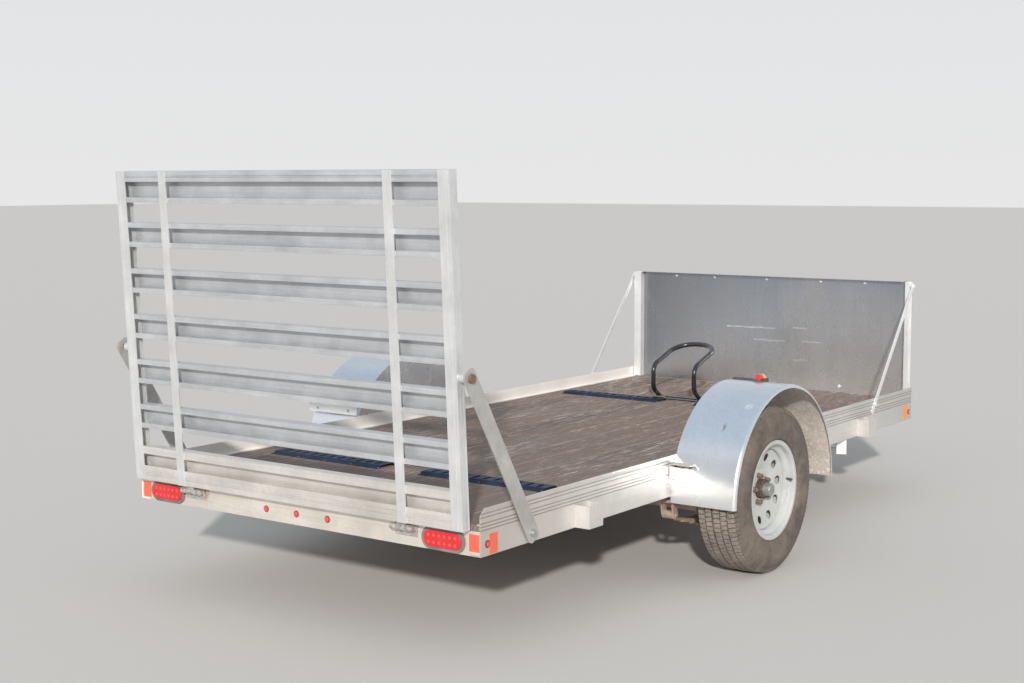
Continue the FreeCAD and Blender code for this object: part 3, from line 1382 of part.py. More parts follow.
def jack():
    top_z = RAIL_BOTTOM_Z + COUPLER_HIGH
    bore_r = JACK_TUBE_R - JACK_TUBE_WALL
    tube = rod_z(JACK_TUBE_R, JACK_TUBE_BOTTOM_Z, JACK_TUBE_TOP_Z, 0, JACK_Y)
    tube = tube.cut(rod_z(bore_r, JACK_TUBE_BOTTOM_Z, JACK_TUBE_TOP_Z - JACK_TUBE_WALL, 0, JACK_Y))
    corners = []
    for turn in (90, 210, 330):
        angle = math.radians(turn)
        corners.append(
            (JACK_PLATE_R * math.cos(angle), JACK_Y + JACK_PLATE_R * math.sin(angle))
        )
    lugs = [rod_z(JACK_LUG_R, top_z, top_z + JACK_PLATE, x, y) for x, y in corners]
    plate = fused(prism_z(corners, top_z, top_z + JACK_PLATE), *lugs)
    ring = plate.cut(rod_z(JACK_TUBE_R - 1, top_z, top_z + JACK_PLATE, 0, JACK_Y))
    add("jack_tube", fused(tube, ring))
    head_z = JACK_TUBE_TOP_Z
    crank_x = JACK_HEAD_R + CRANK_SHAFT
    crank_z = head_z + JACK_HEAD_HIGH / 2
    grip_z = crank_z - CRANK_REACH
    head = fused(
        rod_z(JACK_HEAD_R, head_z, head_z + JACK_HEAD_HIGH, 0, JACK_Y),
        rod_x(2 * CRANK_ROD_R, 0, JACK_HEAD_R + CRANK_ROD_R, JACK_Y, crank_z),
    )
    half = CRANK_BAR_WIDE / 2
    arm = box(
        crank_x, crank_x + CRANK_BAR, JACK_Y - half, JACK_Y + half, grip_z - half, crank_z + half
    )
    shaft = rod_x(CRANK_ROD_R, JACK_HEAD_R + CRANK_ROD_R, crank_x, JACK_Y, crank_z)
    grip_x = crank_x + CRANK_BAR
    grip = rod_x(CRANK_GRIP_R, grip_x, grip_x + CRANK_GRIP_LONG, JACK_Y, grip_z)
    add("jack_head", head)
    add("jack_crank", fused(arm, shaft, grip))
    leg_r = bore_r - JACK_LEG_CLEAR
    half = JACK_FOOT_SIDE / 2
    foot = box(-half, half, JACK_Y - half, JACK_Y + half, 0, JACK_FOOT)
    add("jack_leg", fused(rod_z(leg_r, 0, JACK_LEG_TOP_Z, 0, JACK_Y), foot))


def build():
    add_pair("side_rail", side_rail())
    rear = end_crossmember(True)
    for x in (-TAIL_LAMP_X, TAIL_LAMP_X):
        rear = rear.cut(lamp_hole(x))
    add("rear_crossmember", rear)
    add("front_crossmember", end_crossmember(False))
    floor_crossmembers()
    deck_boards()
    for node, x, y in STRIP_PLACES:
        add(node, tie_strip(x, y))
    wheel_chock()
    front_board()
    add_both("front_struts", front_strut())
    add_pair("tyre", tyre())
    add_pair("rim", rim())
    add_pair("hub", hub())
    add("axle_beam", axle_beam())
    add_both("leaf_springs", leaf_spring())
    spring_hangers()
    add_both("spring_clamps", spring_clamp())
    add_pair("fender", fender())
    for sign in (-1, 1):
        add_both("fender_brackets", fender_bracket(sign))
    add_both("fender_lamps", fender_lamp())
    for y in POCKET_PLACES_Y:
        add_pair("stake_pockets", stake_pocket(y))
    add_both("tail_lamps", tail_lamp())
    for x in ID_LAMP_XS:
        add("id_lamps", rod_y(ID_LAMP_R, -ID_LAMP_REACH, 0, x, LAMP_Z))
    for y, z in SIDE_MARKER_PLACES:
        marker = rod_x(SIDE_MARKER_R, RAIL_OUTER_X, RAIL_OUTER_X + SIDE_MARKER_REACH, y, z)
        add_both("side_markers", marker)
    blank_plate()
    gate()
    gate_hinges()
    gate_braces()
    tongue()
    add("coupler", coupler())
    add("coupler_latch", coupler_latch())
    jack()


def save():
    os.makedirs("parts", exist_ok=True)
    for node, solids in pieces.items():
        shape = Part.makeCompound(solids) if len(solids) > 1 else solids[0]
        shape.translate(V(0, -MIDDLE_Y, 0))
        shape.exportStep("parts/" + node + ".step")


build()
save()
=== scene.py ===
import math
import bpy
from mathutils import Matrix, Vector


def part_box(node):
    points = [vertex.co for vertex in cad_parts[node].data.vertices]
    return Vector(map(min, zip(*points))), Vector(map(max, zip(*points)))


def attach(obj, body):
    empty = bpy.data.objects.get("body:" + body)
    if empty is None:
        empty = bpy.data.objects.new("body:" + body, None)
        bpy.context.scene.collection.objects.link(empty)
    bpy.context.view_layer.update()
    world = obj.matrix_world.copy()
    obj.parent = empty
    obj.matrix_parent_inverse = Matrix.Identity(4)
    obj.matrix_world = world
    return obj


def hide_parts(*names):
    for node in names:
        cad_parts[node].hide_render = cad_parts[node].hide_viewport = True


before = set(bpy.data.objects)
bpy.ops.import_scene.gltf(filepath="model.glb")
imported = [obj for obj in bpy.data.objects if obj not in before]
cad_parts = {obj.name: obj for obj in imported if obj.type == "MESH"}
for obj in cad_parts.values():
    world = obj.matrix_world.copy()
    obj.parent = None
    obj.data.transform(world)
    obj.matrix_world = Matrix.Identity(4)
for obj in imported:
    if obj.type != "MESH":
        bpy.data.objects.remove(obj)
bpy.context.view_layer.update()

# The camera stands where the photograph's stood: behind the trailer, to its right, at eye level.
# Its place, turn and lens were solved from the photograph's straight edges.
CAMERA_PLACE = (3.9626, -6.4685, 1.6158)
CAMERA_HEADING = math.radians(36.25)
CAMERA_DIP = math.radians(5.97)
CAMERA_ROLL = math.radians(-0.1)
CAMERA_LENS_MM = 54.52
bpy.ops.object.camera_add(location=CAMERA_PLACE)
camera = bpy.context.object
heading = Matrix.Rotation(CAMERA_HEADING, 3, "Z")
tilt = Matrix.Rotation(math.pi / 2 - CAMERA_DIP, 3, "X")
roll = Matrix.Rotation(CAMERA_ROLL, 3, "Z")
camera.rotation_euler = (heading @ tilt @ roll).to_euler()
camera.data.lens = CAMERA_LENS_MM
bpy.context.scene.camera = camera

# A plain studio: a wide pale floor under a soft pale sky, and a low sun behind the camera, on the
# heading that the photograph's shadows give. The metal mirrors a sky that is bluer overhead.
FLOOR_SIZE = 160
SKY_STRENGTH = 0.48
SUN_HEADING = math.radians(33)
SUN_HEIGHT = math.radians(22)
SUN_WIDTH = math.radians(2.5)
SUN_ENERGY = 3.05
bpy.context.scene.view_settings.view_transform = "Standard"


def placed(tree, kind, **settings):
    """A new shader node with its options set by name."""
    made = tree.nodes.new(kind)
    for name, value in settings.items():
        setattr(made, name, value)
    return made


def feed(socket, value):
    """Links another socket in, or sets a plain value; a colour comes without its alpha."""
    if isinstance(value, bpy.types.NodeSocket):
        socket.id_data.links.new(value, socket)
    elif socket.type == "RGBA":
        socket.default_value = (*value, 1)
    else:
        socket.default_value = value


def fresh_material(name, metallic, roughness=0.5):
    """A new material, its node tree and its shader's inputs."""
    material = bpy.data.materials.new(name)
    material.use_nodes = True
    shader = material.node_tree.nodes["Principled BSDF"].inputs
    shader["Metallic"].default_value = metallic
    shader["Roughness"].default_value = roughness
    return material, material.node_tree, shader


bpy.ops.mesh.primitive_plane_add(size=FLOOR_SIZE)
floor = bpy.context.object
floor.name = "studio_floor"
floor_paint, tree, shader = fresh_material("studio_floor_paint", 0.0, 0.9)
feed(shader["Base Color"], (0.7, 0.69, 0.68))
floor.data.materials.append(floor_paint)

sky = bpy.data.worlds.new("studio_sky")
bpy.context.scene.world = sky
sky.use_nodes = True
tree = sky.node_tree
tree.nodes.clear()
sky_parts = placed(tree, "ShaderNodeSeparateXYZ")
feed(sky_parts.inputs[0], placed(tree, "ShaderNodeTexCoord").outputs["Generated"])
sky_shades = placed(tree, "ShaderNodeValToRGB")
feed(sky_shades.inputs["Fac"], sky_parts.outputs["Z"])
low_shade, high_shade = sky_shades.color_ramp.elements
high_shade.position = 0.9
low_shade.color = (0.8, 0.8, 0.8, 1)
high_shade.color = (0.5, 0.59, 0.7, 1)
sky_seen = placed(tree, "ShaderNodeBackground")
feed(sky_seen.inputs["Color"], sky_shades.outputs["Color"])
sky_light = placed(tree, "ShaderNodeBackground")
feed(sky_light.inputs["Color"], (0.94, 0.97, 1.0))
feed(sky_light.inputs["Strength"], SKY_STRENGTH)
sky_rays = placed(tree, "ShaderNodeLightPath").outputs
seen_or_mirrored = placed(tree, "ShaderNodeMath", operation="MAXIMUM")
feed(seen_or_mirrored.inputs[0], sky_rays["Is Camera Ray"])
feed(seen_or_mirrored.inputs[1], sky_rays["Is Glossy Ray"])
sky_mix = placed(tree, "ShaderNodeMixShader")
for number, made in enumerate((seen_or_mirrored, sky_light, sky_seen)):
    feed(sky_mix.inputs[number], made.outputs[0])
feed(placed(tree, "ShaderNodeOutputWorld").inputs["Surface"], sky_mix.outputs[0])

bpy.ops.object.light_add(type="SUN")
lamp = bpy.context.object
lamp.name = "studio_lamp"
lamp.data.energy = SUN_ENERGY
lamp.data.color = (1.0, 0.95, 0.885)
lamp.data.angle = SUN_WIDTH
lamp.rotation_euler = (math.pi / 2 - SUN_HEIGHT, 0, SUN_HEADING)

# Side rails and cross members: mill-finish aluminium extrusions, sawn square and welded.
# Draw marks run along each bar, and rain and road dirt have dulled the metal unevenly.
RAIL_EDGE = 0.0005
BAR_EDGE = 0.001
RAIL_GROOVES = (0.44, 0.452, 0.464, 0.484, 0.496)
GROOVE_HALF = 0.0021
GROOVE_DEPTH = 0.003


def alone(piece):
    """Selects this piece and nothing else."""
    for other in bpy.context.selected_objects:
        other.select_set(False)
    bpy.context.view_layer.objects.active = piece
    piece.select_set(True)


def settle(piece):
    """Puts the piece's place, turn and size into its mesh."""
    alone(piece)
    bpy.ops.object.transform_apply(location=True, rotation=True, scale=True)


def applied(piece, kind, **settings):
    """A modifier with its settings, applied at once."""
    alone(piece)
    modifier = piece.modifiers.new(kind.lower(), kind)
    for name, value in settings.items():
        setattr(modifier, name, value)
    bpy.ops.object.modifier_apply(modifier=modifier.name)


def mode(kind):
    """Object or edit mode of the active piece."""
    bpy.ops.object.mode_set(mode=kind)


def round_edges(piece, width, segments=2, angle=40):
    """Rolls the sharp edges over and keeps the flats flat to the eye."""
    limit = {"limit_method": "ANGLE", "angle_limit": math.radians(angle)}
    applied(piece, "BEVEL", width=width, segments=segments, **limit)
    smooth(piece)


def smooth(piece, angle=35):
    alone(piece)
    bpy.ops.object.shade_smooth_by_angle(angle=math.radians(angle))
    applied(piece, "WEIGHTED_NORMAL", keep_sharp=True)


def worked_copy(node, width=0.0, flat=0.4):
    """A copy of a node as whole faces in place of triangles, its sharp edges rolled over."""
    piece = bpy.data.objects.new(node + "_made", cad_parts[node].data.copy())
    bpy.context.scene.collection.objects.link(piece)
    alone(piece)
    bpy.ops.mesh.customdata_custom_splitnormals_clear()
    mode("EDIT")
    bpy.ops.mesh.select_all(action="SELECT")
    bpy.ops.mesh.remove_doubles(threshold=1e-5)
    bpy.ops.mesh.dissolve_limited(angle_limit=math.radians(flat))
    mode("OBJECT")
    if width:
        round_edges(piece, width)
    else:
        smooth(piece)
    return piece


def joined(name, parts):
    """Several pieces made one."""
    alone(parts[0])
    for part in parts[1:]:
        part.select_set(True)
    bpy.ops.object.join()
    parts[0].name = name
    return parts[0]


def bar(name, low, high):
    """A square bar between two corners."""
    low, high = Vector(low), Vector(high)
    bpy.ops.mesh.primitive_cube_add(size=1, location=(low + high) / 2, scale=high - low)
    piece = bpy.context.object
    piece.name = name
    settle(piece)
    return piece


def carved(piece, cutter):
    """Takes the cutter out of the piece."""
    applied(piece, "BOOLEAN", object=cutter, operation="DIFFERENCE", solver="EXACT")
    bpy.data.objects.remove(cutter)


def fit(piece, body, slot, material, *nodes):
    """Gives a finished piece its finish, its body and the nodes that it stands for."""
    piece.data.materials.clear()
    piece.data.materials.append(material)
    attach(piece, body)
    if nodes:
        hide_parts(*nodes)
    return piece


def dress(node, material, slot="mill_aluminium", body="root", edge=BAR_EDGE):
    """A node's own shape with its edges rolled over and its finish, in the node's place."""
    fit(worked_copy(node, edge), body, slot, material, node)


def group_of(name, inputs, outputs):
    """An empty node group; inputs are vectors or numbers by label, outputs are labels of masks."""
    group = bpy.data.node_groups.new(name, "ShaderNodeTree")
    for label, value in inputs.items():
        kind = "NodeSocketVector" if isinstance(value, tuple) else "NodeSocketFloat"
        group.interface.new_socket(label, in_out="INPUT", socket_type=kind).default_value = value
    for label in outputs:
        group.interface.new_socket(label, in_out="OUTPUT", socket_type="NodeSocketFloat")
    entry = group.nodes.new("NodeGroupInput")
    leave = group.nodes.new("NodeGroupOutput")
    return group, entry.outputs, leave.inputs


def tree_of(*values):
    """The node tree that the first socket among the values lies in."""
    return next(value.id_data for value in values if isinstance(value, bpy.types.NodeSocket))


def fed(made, *values):
    """A node with its first inputs fed in turn."""
    for socket, value in zip(made.inputs, values):
        feed(socket, value)
    return made


def spread(value, low, high, to_low=0.0, to_high=1.0):
    """The value, mapped from low and high to the two new ends."""
    mapped = placed(value.id_data, "ShaderNodeMapRange")
    return fed(mapped, value, low, high, to_low, to_high).outputs["Result"]


def cloudy(place, scale, detail=4.0, roughness=0.6, low=0.3, high=0.7):
    """A noise over the place, spread from 0 at its low values to 1 at its high ones."""
    noise = placed(place.id_data, "ShaderNodeTexNoise")
    settings = {"Vector": place, "Scale": scale, "Detail": detail, "Roughness": roughness}
    for label, value in settings.items():
        feed(noise.inputs[label], value)
    return spread(noise.outputs["Fac"], low, high)


def reckoned(operation, *values):
    """A Math node's result."""
    return fed(placed(tree_of(*values), "ShaderNodeMath", operation=operation), *values).outputs[0]


def times(first, second):
    return reckoned("MULTIPLY", first, second)


def mixed(share, first, second):
    """The first colour, turning into the second as the share goes to 1."""
    made = placed(tree_of(share, first), "ShaderNodeMix", data_type="RGBA")
    for label, value in (("Factor", share), ("A", first), ("B", second)):
        feed(made.inputs[label], value)
    return made.outputs["Result"]


def bumped(height, distance, strength=1.0):
    made = placed(height.id_data, "ShaderNodeBump")
    for label, value in (("Height", height), ("Distance", distance), ("Strength", strength)):
        feed(made.inputs[label], value)
    return made.outputs["Normal"]


def object_place(tree):
    return placed(tree, "ShaderNodeTexCoord").outputs["Object"]


def place_parts(tree):
    """The place's X, Y and Z."""
    return fed(placed(tree, "ShaderNodeSeparateXYZ"), object_place(tree)).outputs


def vector(operation, *values):
    """A Vector Math node."""
    return fed(placed(tree_of(*values), "ShaderNodeVectorMath", operation=operation), *values)


def stretched(place, stretch):
    return vector("MULTIPLY", place, stretch).outputs[0]


def in_group(tree, group, **values):
    """A group placed in a material; its inputs are set by name."""
    made = placed(tree, "ShaderNodeGroup", node_tree=group)
    for label, value in values.items():
        feed(made.inputs[label], value)
    return made.outputs


metal_marks, entry, leave = group_of(
    "metal_marks", {"Stretch": (1, 1, 1)}, ("Streaks", "Blotches", "Specks")
)
place = object_place(metal_marks)
feed(leave["Streaks"], cloudy(stretched(place, entry["Stretch"]), 1.0, 6.0, 0.75))
feed(leave["Blotches"], cloudy(place, 5.5, 8.0, 0.68, 0.32, 0.68))
feed(leave["Specks"], cloudy(place, 130.0, 3.0, 0.7, 0.58, 0.78))

ALONG_X = (2.5, 150, 150)
ALONG_Y = (150, 2.5, 150)
ALONG_Z = (150, 150, 2.5)


def aluminium(name, stretch, dark, light, dirt=0.35):
    """Bare aluminium with draw marks, dull blotches and a thin film of brown dirt."""
    material, tree, shader = fresh_material(name, 0.55)
    marks = in_group(tree, metal_marks, Stretch=stretch)
    streaks, blotches = marks["Streaks"], marks["Blotches"]
    weathered = reckoned("MULTIPLY_ADD", streaks, 0.4, times(blotches, 0.6))
    film = times(times(marks["Specks"], dirt), blotches)
    metal = mixed(weathered, dark, light)
    feed(shader["Base Color"], mixed(film, metal, (0.23, 0.18, 0.14)))
    feed(shader["Roughness"], spread(weathered, 0.0, 1.0, 0.36, 0.56))
    feed(shader["Normal"], bumped(streaks, 0.00025, 0.5))
    return material


rail_metal = aluminium("rail_metal", ALONG_Y, (0.69, 0.675, 0.65), (0.9, 0.885, 0.86))
cross_metal = aluminium("cross_metal", ALONG_X, (0.58, 0.55, 0.5), (0.86, 0.83, 0.78), 0.5)
post_metal = aluminium("post_metal", ALONG_Z, (0.8, 0.81, 0.82), (0.99, 0.995, 0.99), 0.2)
# Painted sunlight: the far rail gets a lighter, less metallic copy of the rail finish, so that its
# inner face looks sunlit.
sunlit_far_metal = aluminium("sunlit_far_metal", ALONG_Y, (0.84, 0.81, 0.77), (1.0, 0.98, 0.95))
sunlit_far_metal.node_tree.nodes["Principled BSDF"].inputs["Metallic"].default_value = 0.1
rear_metal = aluminium("rear_metal", ALONG_X, (0.66, 0.615, 0.55), (0.96, 0.91, 0.84), 0.6)


def grooved(rail, low, high, outward):
    """Draws the five fine grooves along the rail's outer face."""
    face = high.x if outward > 0 else low.x
    cutters = []
    for height in RAIL_GROOVES:
        near = sorted((face - outward * GROOVE_DEPTH, face + outward * GROOVE_DEPTH))
        start = (near[0], low.y - GROOVE_DEPTH, height - GROOVE_HALF)
        cutters.append(bar("groove", start, (near[1], high.y + GROOVE_DEPTH, height + GROOVE_HALF)))
    carved(rail, joined("grooves", cutters))
    smooth(rail)


for node, outward in (("side_rail_left", -1), ("side_rail_right", 1)):
    rail = worked_copy(node, RAIL_EDGE)
    grooved(rail, *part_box(node), outward)
    fit(rail, "root", "mill_aluminium", rail_metal if outward > 0 else sunlit_far_metal, node)
for node in ("front_crossmember", "floor_crossmembers"):
    dress(node, cross_metal)

# A mark at one place: 1 in its middle, ragged, and gone one size away from there.
spot, entry, leave = group_of("spot", {"Middle": (0, 0, 0), "Size": (1, 1, 1)}, ("Mask",))
away = vector("SUBTRACT", object_place(spot), entry["Middle"]).outputs[0]
shares = vector("DIVIDE", away, entry["Size"]).outputs[0]
reach = vector("LENGTH", shares).outputs["Value"]
ragged = cloudy(object_place(spot), 90.0, 4.0, 0.6, 0.3, 0.6)
feed(leave["Mask"], times(ragged, spread(reach, 0.5, 1.0, 1.0, 0.0)))


def layered(material, share, colour):
    """Lays one more colour over a finish."""
    tone = material.node_tree.nodes["Principled BSDF"].inputs["Base Color"]
    feed(tone, mixed(share, tone.links[0].from_socket, colour))


def marked(material, middle, size, colour, share=1.0):
    """Lays one mark of a colour over a finish."""
    mask = in_group(material.node_tree, spot, Middle=middle, Size=size)["Mask"]
    layered(material, times(mask, share), colour)


rear_low, rear_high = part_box("rear_crossmember")
rear_y = rear_low.y
parts = place_parts(rail_metal.node_tree)
# Painted shade: the rail's metal is darkened inside each of its grooves.
painted_groove_shade = 0.0
for height in RAIL_GROOVES:
    offset = reckoned("ABSOLUTE", reckoned("SUBTRACT", parts["Z"], height))
    painted_groove_shade = reckoned("ADD", painted_groove_shade, reckoned("LESS_THAN", offset, GROOVE_HALF))
layered(rail_metal, spread(parts["Y"], rear_y, rear_y + 0.8, 0.55, 0.0), (0.5, 0.41, 0.35))
layered(rail_metal, spread(parts["Y"], 0.1, 1.2, 0.0, 0.55), (0.46, 0.46, 0.45))
layered(rail_metal, times(painted_groove_shade, 0.45), (0.3, 0.25, 0.22))
shelf_low, shelf_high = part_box("fender_brackets")
# Painted shadow: a grey band on the rail beside the fender's inner edge, by its bracket.
painted_fender_edge_shadow = (0.854, shelf_low.y + 0.004, 0.43)
marked(rail_metal, painted_fender_edge_shadow, (0.02, 0.045, 0.12), (0.36, 0.34, 0.32), 0.7)
hinge_rust = (-0.486, rear_y, rear_high.z - 0.012)
marked(rear_metal, hinge_rust, (0.03, 0.02, 0.05), (0.3, 0.17, 0.1), 0.8)
dress("rear_crossmember", rear_metal)

# Deck: twelve softwood boards laid lengthwise between the rails, with eased edges.
# Sun and rain have turned them grey-brown, and a row of screws holds them at each cross member.
BOARD_EASE = 0.0028
BOARD_COUNT = 12
BOARD_GAP = 0.0036
SCREW_R = 0.0045
SCREW_FROM_EDGE = 0.022
SCREW_PROUD = 0.0006


def copies_at(name, piece, places):
    """A finished piece copied to each place, a matrix, and joined; the first one goes."""
    copies = []
    for place in places:
        copy = piece.copy()
        copy.data = piece.data.copy()
        copy.matrix_world = place
        bpy.context.scene.collection.objects.link(copy)
        copies.append(copy)
    bpy.data.objects.remove(piece)
    whole = joined(name, copies)
    settle(whole)
    return whole


def stand(place, turn=0.0, axis="X"):
    """Where a copy stands: turned about an axis, then moved to the place."""
    return Matrix.Translation(place) @ Matrix.Rotation(turn, 4, axis)


def pick(piece, wanted):
    """In edit mode, selects the vertices whose place is wanted."""
    mode("EDIT")
    bpy.ops.mesh.select_mode(type="VERT")
    bpy.ops.mesh.select_all(action="DESELECT")
    mode("OBJECT")
    for vertex in piece.data.vertices:
        vertex.select = wanted(vertex.co)
    mode("EDIT")


def pick_faces(piece, wanted):
    """In edit mode, selects the faces whose centre and normal are wanted."""
    mode("EDIT")
    bpy.ops.mesh.select_mode(type="FACE")
    bpy.ops.mesh.select_all(action="DESELECT")
    mode("OBJECT")
    for face in piece.data.polygons:
        face.select = wanted(face.center, face.normal)
    mode("EDIT")


def shift(piece, wanted, step):
    """Moves the vertices whose place is wanted."""
    pick(piece, wanted)
    bpy.ops.transform.translate(value=step)
    mode("OBJECT")


def rod(name, radius, length, middle, axis, sides):
    """A round bar along an axis, about its middle."""
    turns = {"X": (0, math.pi / 2, 0), "Y": (math.pi / 2, 0, 0), "Z": (0, 0, 0)}
    bpy.ops.mesh.primitive_cylinder_add(
        vertices=sides, radius=radius, depth=length, location=middle, rotation=turns[axis]
    )
    piece = bpy.context.object
    piece.name = name
    settle(piece)
    return piece


def screw_head(name, radius, proud, sides=14):
    """A low screw head with a dished top and a drive hole, standing up from the origin."""
    piece = rod(name, radius, 2 * proud, (0, 0, 0), "Z", sides)
    pick_faces(piece, lambda centre, normal: normal.z > 0.9)
    bpy.ops.mesh.inset(thickness=radius * 0.25)
    bpy.ops.transform.translate(value=(0, 0, proud * 0.4))
    bpy.ops.mesh.inset(thickness=radius * 0.35)
    bpy.ops.mesh.extrude_region_move(TRANSFORM_OT_translate={"value": (0, 0, -proud)})
    mode("OBJECT")
    return piece


deck_wood, tree, shader = fresh_material("deck_wood", 0.0)
place = object_place(tree)
parts = place_parts(tree)
deck_low, deck_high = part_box("deck_boards")
board_pitch = (deck_high.x - deck_low.x + BOARD_GAP) / BOARD_COUNT
boards_along = reckoned("DIVIDE", reckoned("SUBTRACT", parts["X"], deck_low.x), board_pitch)
luck = placed(tree, "ShaderNodeTexWhiteNoise", noise_dimensions="1D")
feed(luck.inputs["W"], reckoned("FLOOR", boards_along))
shifted = vector("MULTIPLY_ADD", luck.outputs["Color"], (3, 40, 3), place).outputs[0]
bands = placed(tree, "ShaderNodeTexWave", bands_direction="X", wave_type="BANDS")
band_settings = {"Scale": 0.9, "Distortion": 9.0, "Detail": 4.0, "Detail Scale": 0.6}
feed(bands.inputs["Vector"], stretched(shifted, (26, 1.1, 26)))
for label, value in band_settings.items():
    feed(bands.inputs[label], value)
fibres = cloudy(stretched(shifted, (420, 9, 420)), 1.0, 5.0, 0.7)
stains = cloudy(stretched(place, (1.0, 0.5, 1.0)), 3.2, 9.0, 0.7, 0.36, 0.64)
scuffs = cloudy(stretched(shifted, (140, 8, 140)), 1.0, 5.0, 0.8, 0.56, 0.63)
grain = reckoned("MULTIPLY_ADD", bands.outputs["Fac"], 0.45, times(fibres, 0.55))
worn = spread(parts["Y"], deck_low.y, deck_high.y, 0.35, 1.9)
from_middle = reckoned("ABSOLUTE", reckoned("SUBTRACT", reckoned("FRACT", boards_along), 0.49))
dragged = cloudy(stretched(place, (1.0, 0.35, 1.0)), 3.4, 2.0, 0.5, 0.48, 0.6)
scrapes = cloudy(stretched(place, (170, 5.5, 170)), 1.0, 3.0, 0.6, 0.6, 0.65)
wood = mixed(grain, (0.038, 0.027, 0.023), (0.41, 0.315, 0.265))
for share, colour in (
    (times(stains, 0.6), (0.08, 0.062, 0.056)),
    (times(luck.outputs["Value"], 0.55), (0.29, 0.22, 0.185)),
    (times(scuffs, worn), (0.66, 0.52, 0.44)),
    (times(spread(from_middle, 0.43, 0.475, 0.0, 0.3), fibres), (0.66, 0.53, 0.46)),
    (times(times(scrapes, dragged), worn), (0.95, 0.85, 0.77)),
):
    wood = mixed(share, wood, colour)
feed(shader["Base Color"], wood)
feed(shader["Roughness"], spread(stains, 0.0, 1.0, 0.86, 0.62))
relief = reckoned("MULTIPLY_ADD", fibres, 0.5, times(bands.outputs["Fac"], 0.5))
feed(shader["Normal"], bumped(relief, 0.0012, 0.8))

boards = []
for number in range(BOARD_COUNT):
    left = deck_low.x + number * board_pitch
    right = left + board_pitch - BOARD_GAP
    board = bar("board", (left, deck_low.y, deck_low.z), (right, deck_high.y, deck_high.z))
    round_edges(board, BOARD_EASE, 3)
    boards.append(board)
fit(joined("deck_boards_made", boards), "root", "deck_wood", deck_wood, "deck_boards")


def two_tone(name, metallic, grain, mark, first, second, rough=0.5, over=None, bump=None, coat=0.0):
    """A finish of two tones that turn into each other by a mark.

    rough is a number or (mark, from, to), over lays (mark, share, colour) on the tones, its share a
    number or a mark, and bump is the distance and strength at which the streaks stand up.
    """
    material, tree, shader = fresh_material(name, metallic)
    marks = in_group(tree, metal_marks, Stretch=(grain, grain, grain))
    tone = mixed(marks[mark], first, second)
    if over:
        laid, share, colour = over
        share = marks[share] if isinstance(share, str) else share
        tone = mixed(times(marks[laid], share), tone, colour)
    feed(shader["Base Color"], tone)
    if isinstance(rough, tuple):
        rough = spread(marks[rough[0]], 0.0, 1.0, *rough[1:])
    feed(shader["Roughness"], rough)
    if bump:
        feed(shader["Normal"], bumped(marks["Streaks"], *bump))
    feed(shader["Coat Weight"], coat)
    return material


screw_steel = two_tone(
    "screw_steel", 0.8, 60, "Streaks", (0.1, 0.08, 0.07), (0.42, 0.38, 0.34), ("Streaks", 0.4, 0.7)
)
CROSS_COUNT = 7
cross_pitch = (deck_high.y - deck_low.y) / (CROSS_COUNT + 1)
screw_places = []
for row in range(CROSS_COUNT):
    y = deck_low.y + (row + 1) * cross_pitch
    for number in range(BOARD_COUNT):
        left = deck_low.x + number * board_pitch
        for x in (left + SCREW_FROM_EDGE, left + board_pitch - BOARD_GAP - SCREW_FROM_EDGE):
            screw_places.append(stand((x, y, deck_high.z)))
deck_screws = copies_at("deck_screws", screw_head("screw", SCREW_R, SCREW_PROUD), screw_places)
fit(deck_screws, "root", "zinc_steel", screw_steel)

# Tie-down strips: black steel hat sections with two rows of slots, screwed down at their flanges.
# The black paint has chipped to bright metal along the crown's edges.
STRIP_EDGE = 0.0004
STRIP_SCREW_R = 0.0055
STRIP_SCREW_SPACING = 0.148
STRIP_SCREWS = 5
STRIP_LENGTH = 0.598
STRIP_FLANGE = 0.0025


def gloss_paint(name, dark, light, coat=0.6, rough=(0.12, 0.3)):
    """Glossy enamel over steel, chipped here and there to the brown metal."""
    material, tree, shader = fresh_material(name, 0.0)
    marks = in_group(tree, metal_marks, Stretch=(40, 40, 40))
    chips = times(marks["Specks"], spread(marks["Blotches"], 0.45, 0.8))
    paint = mixed(marks["Blotches"], dark, light)
    feed(shader["Base Color"], mixed(chips, paint, (0.24, 0.19, 0.15)))
    feed(shader["Roughness"], spread(marks["Streaks"], 0.0, 1.0, *rough))
    feed(shader["Normal"], bumped(marks["Streaks"], 0.0002, 0.4))
    feed(shader["Coat Weight"], coat)
    return material


black_paint = gloss_paint("black_paint", (0.008, 0.009, 0.011), (0.026, 0.027, 0.03))
blue_black = gloss_paint(
    "blue_black", (0.006, 0.012, 0.032), (0.018, 0.036, 0.088), 0.0, (0.45, 0.6)
)
blue_black.node_tree.nodes["Principled BSDF"].inputs["Specular IOR Level"].default_value = 0.2
strip_screws = []
for node in ("tie_strips_rear", "tie_strips_front"):
    dress(node, blue_black, "black_steel", edge=STRIP_EDGE)
    low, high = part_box(node)
    for start in (low.x, high.x - STRIP_LENGTH):
        for step in range(STRIP_SCREWS):
            x = start + 0.003 + STRIP_SCREW_SPACING * step
            for y in (low.y + 0.008, high.y - 0.008):
                strip_screws.append(stand((x, y, low.z + STRIP_FLANGE)))
heads = copies_at("strip_screws", screw_head("screw", STRIP_SCREW_R, 0.001), strip_screws)
fit(heads, "root", "zinc_steel", screw_steel)

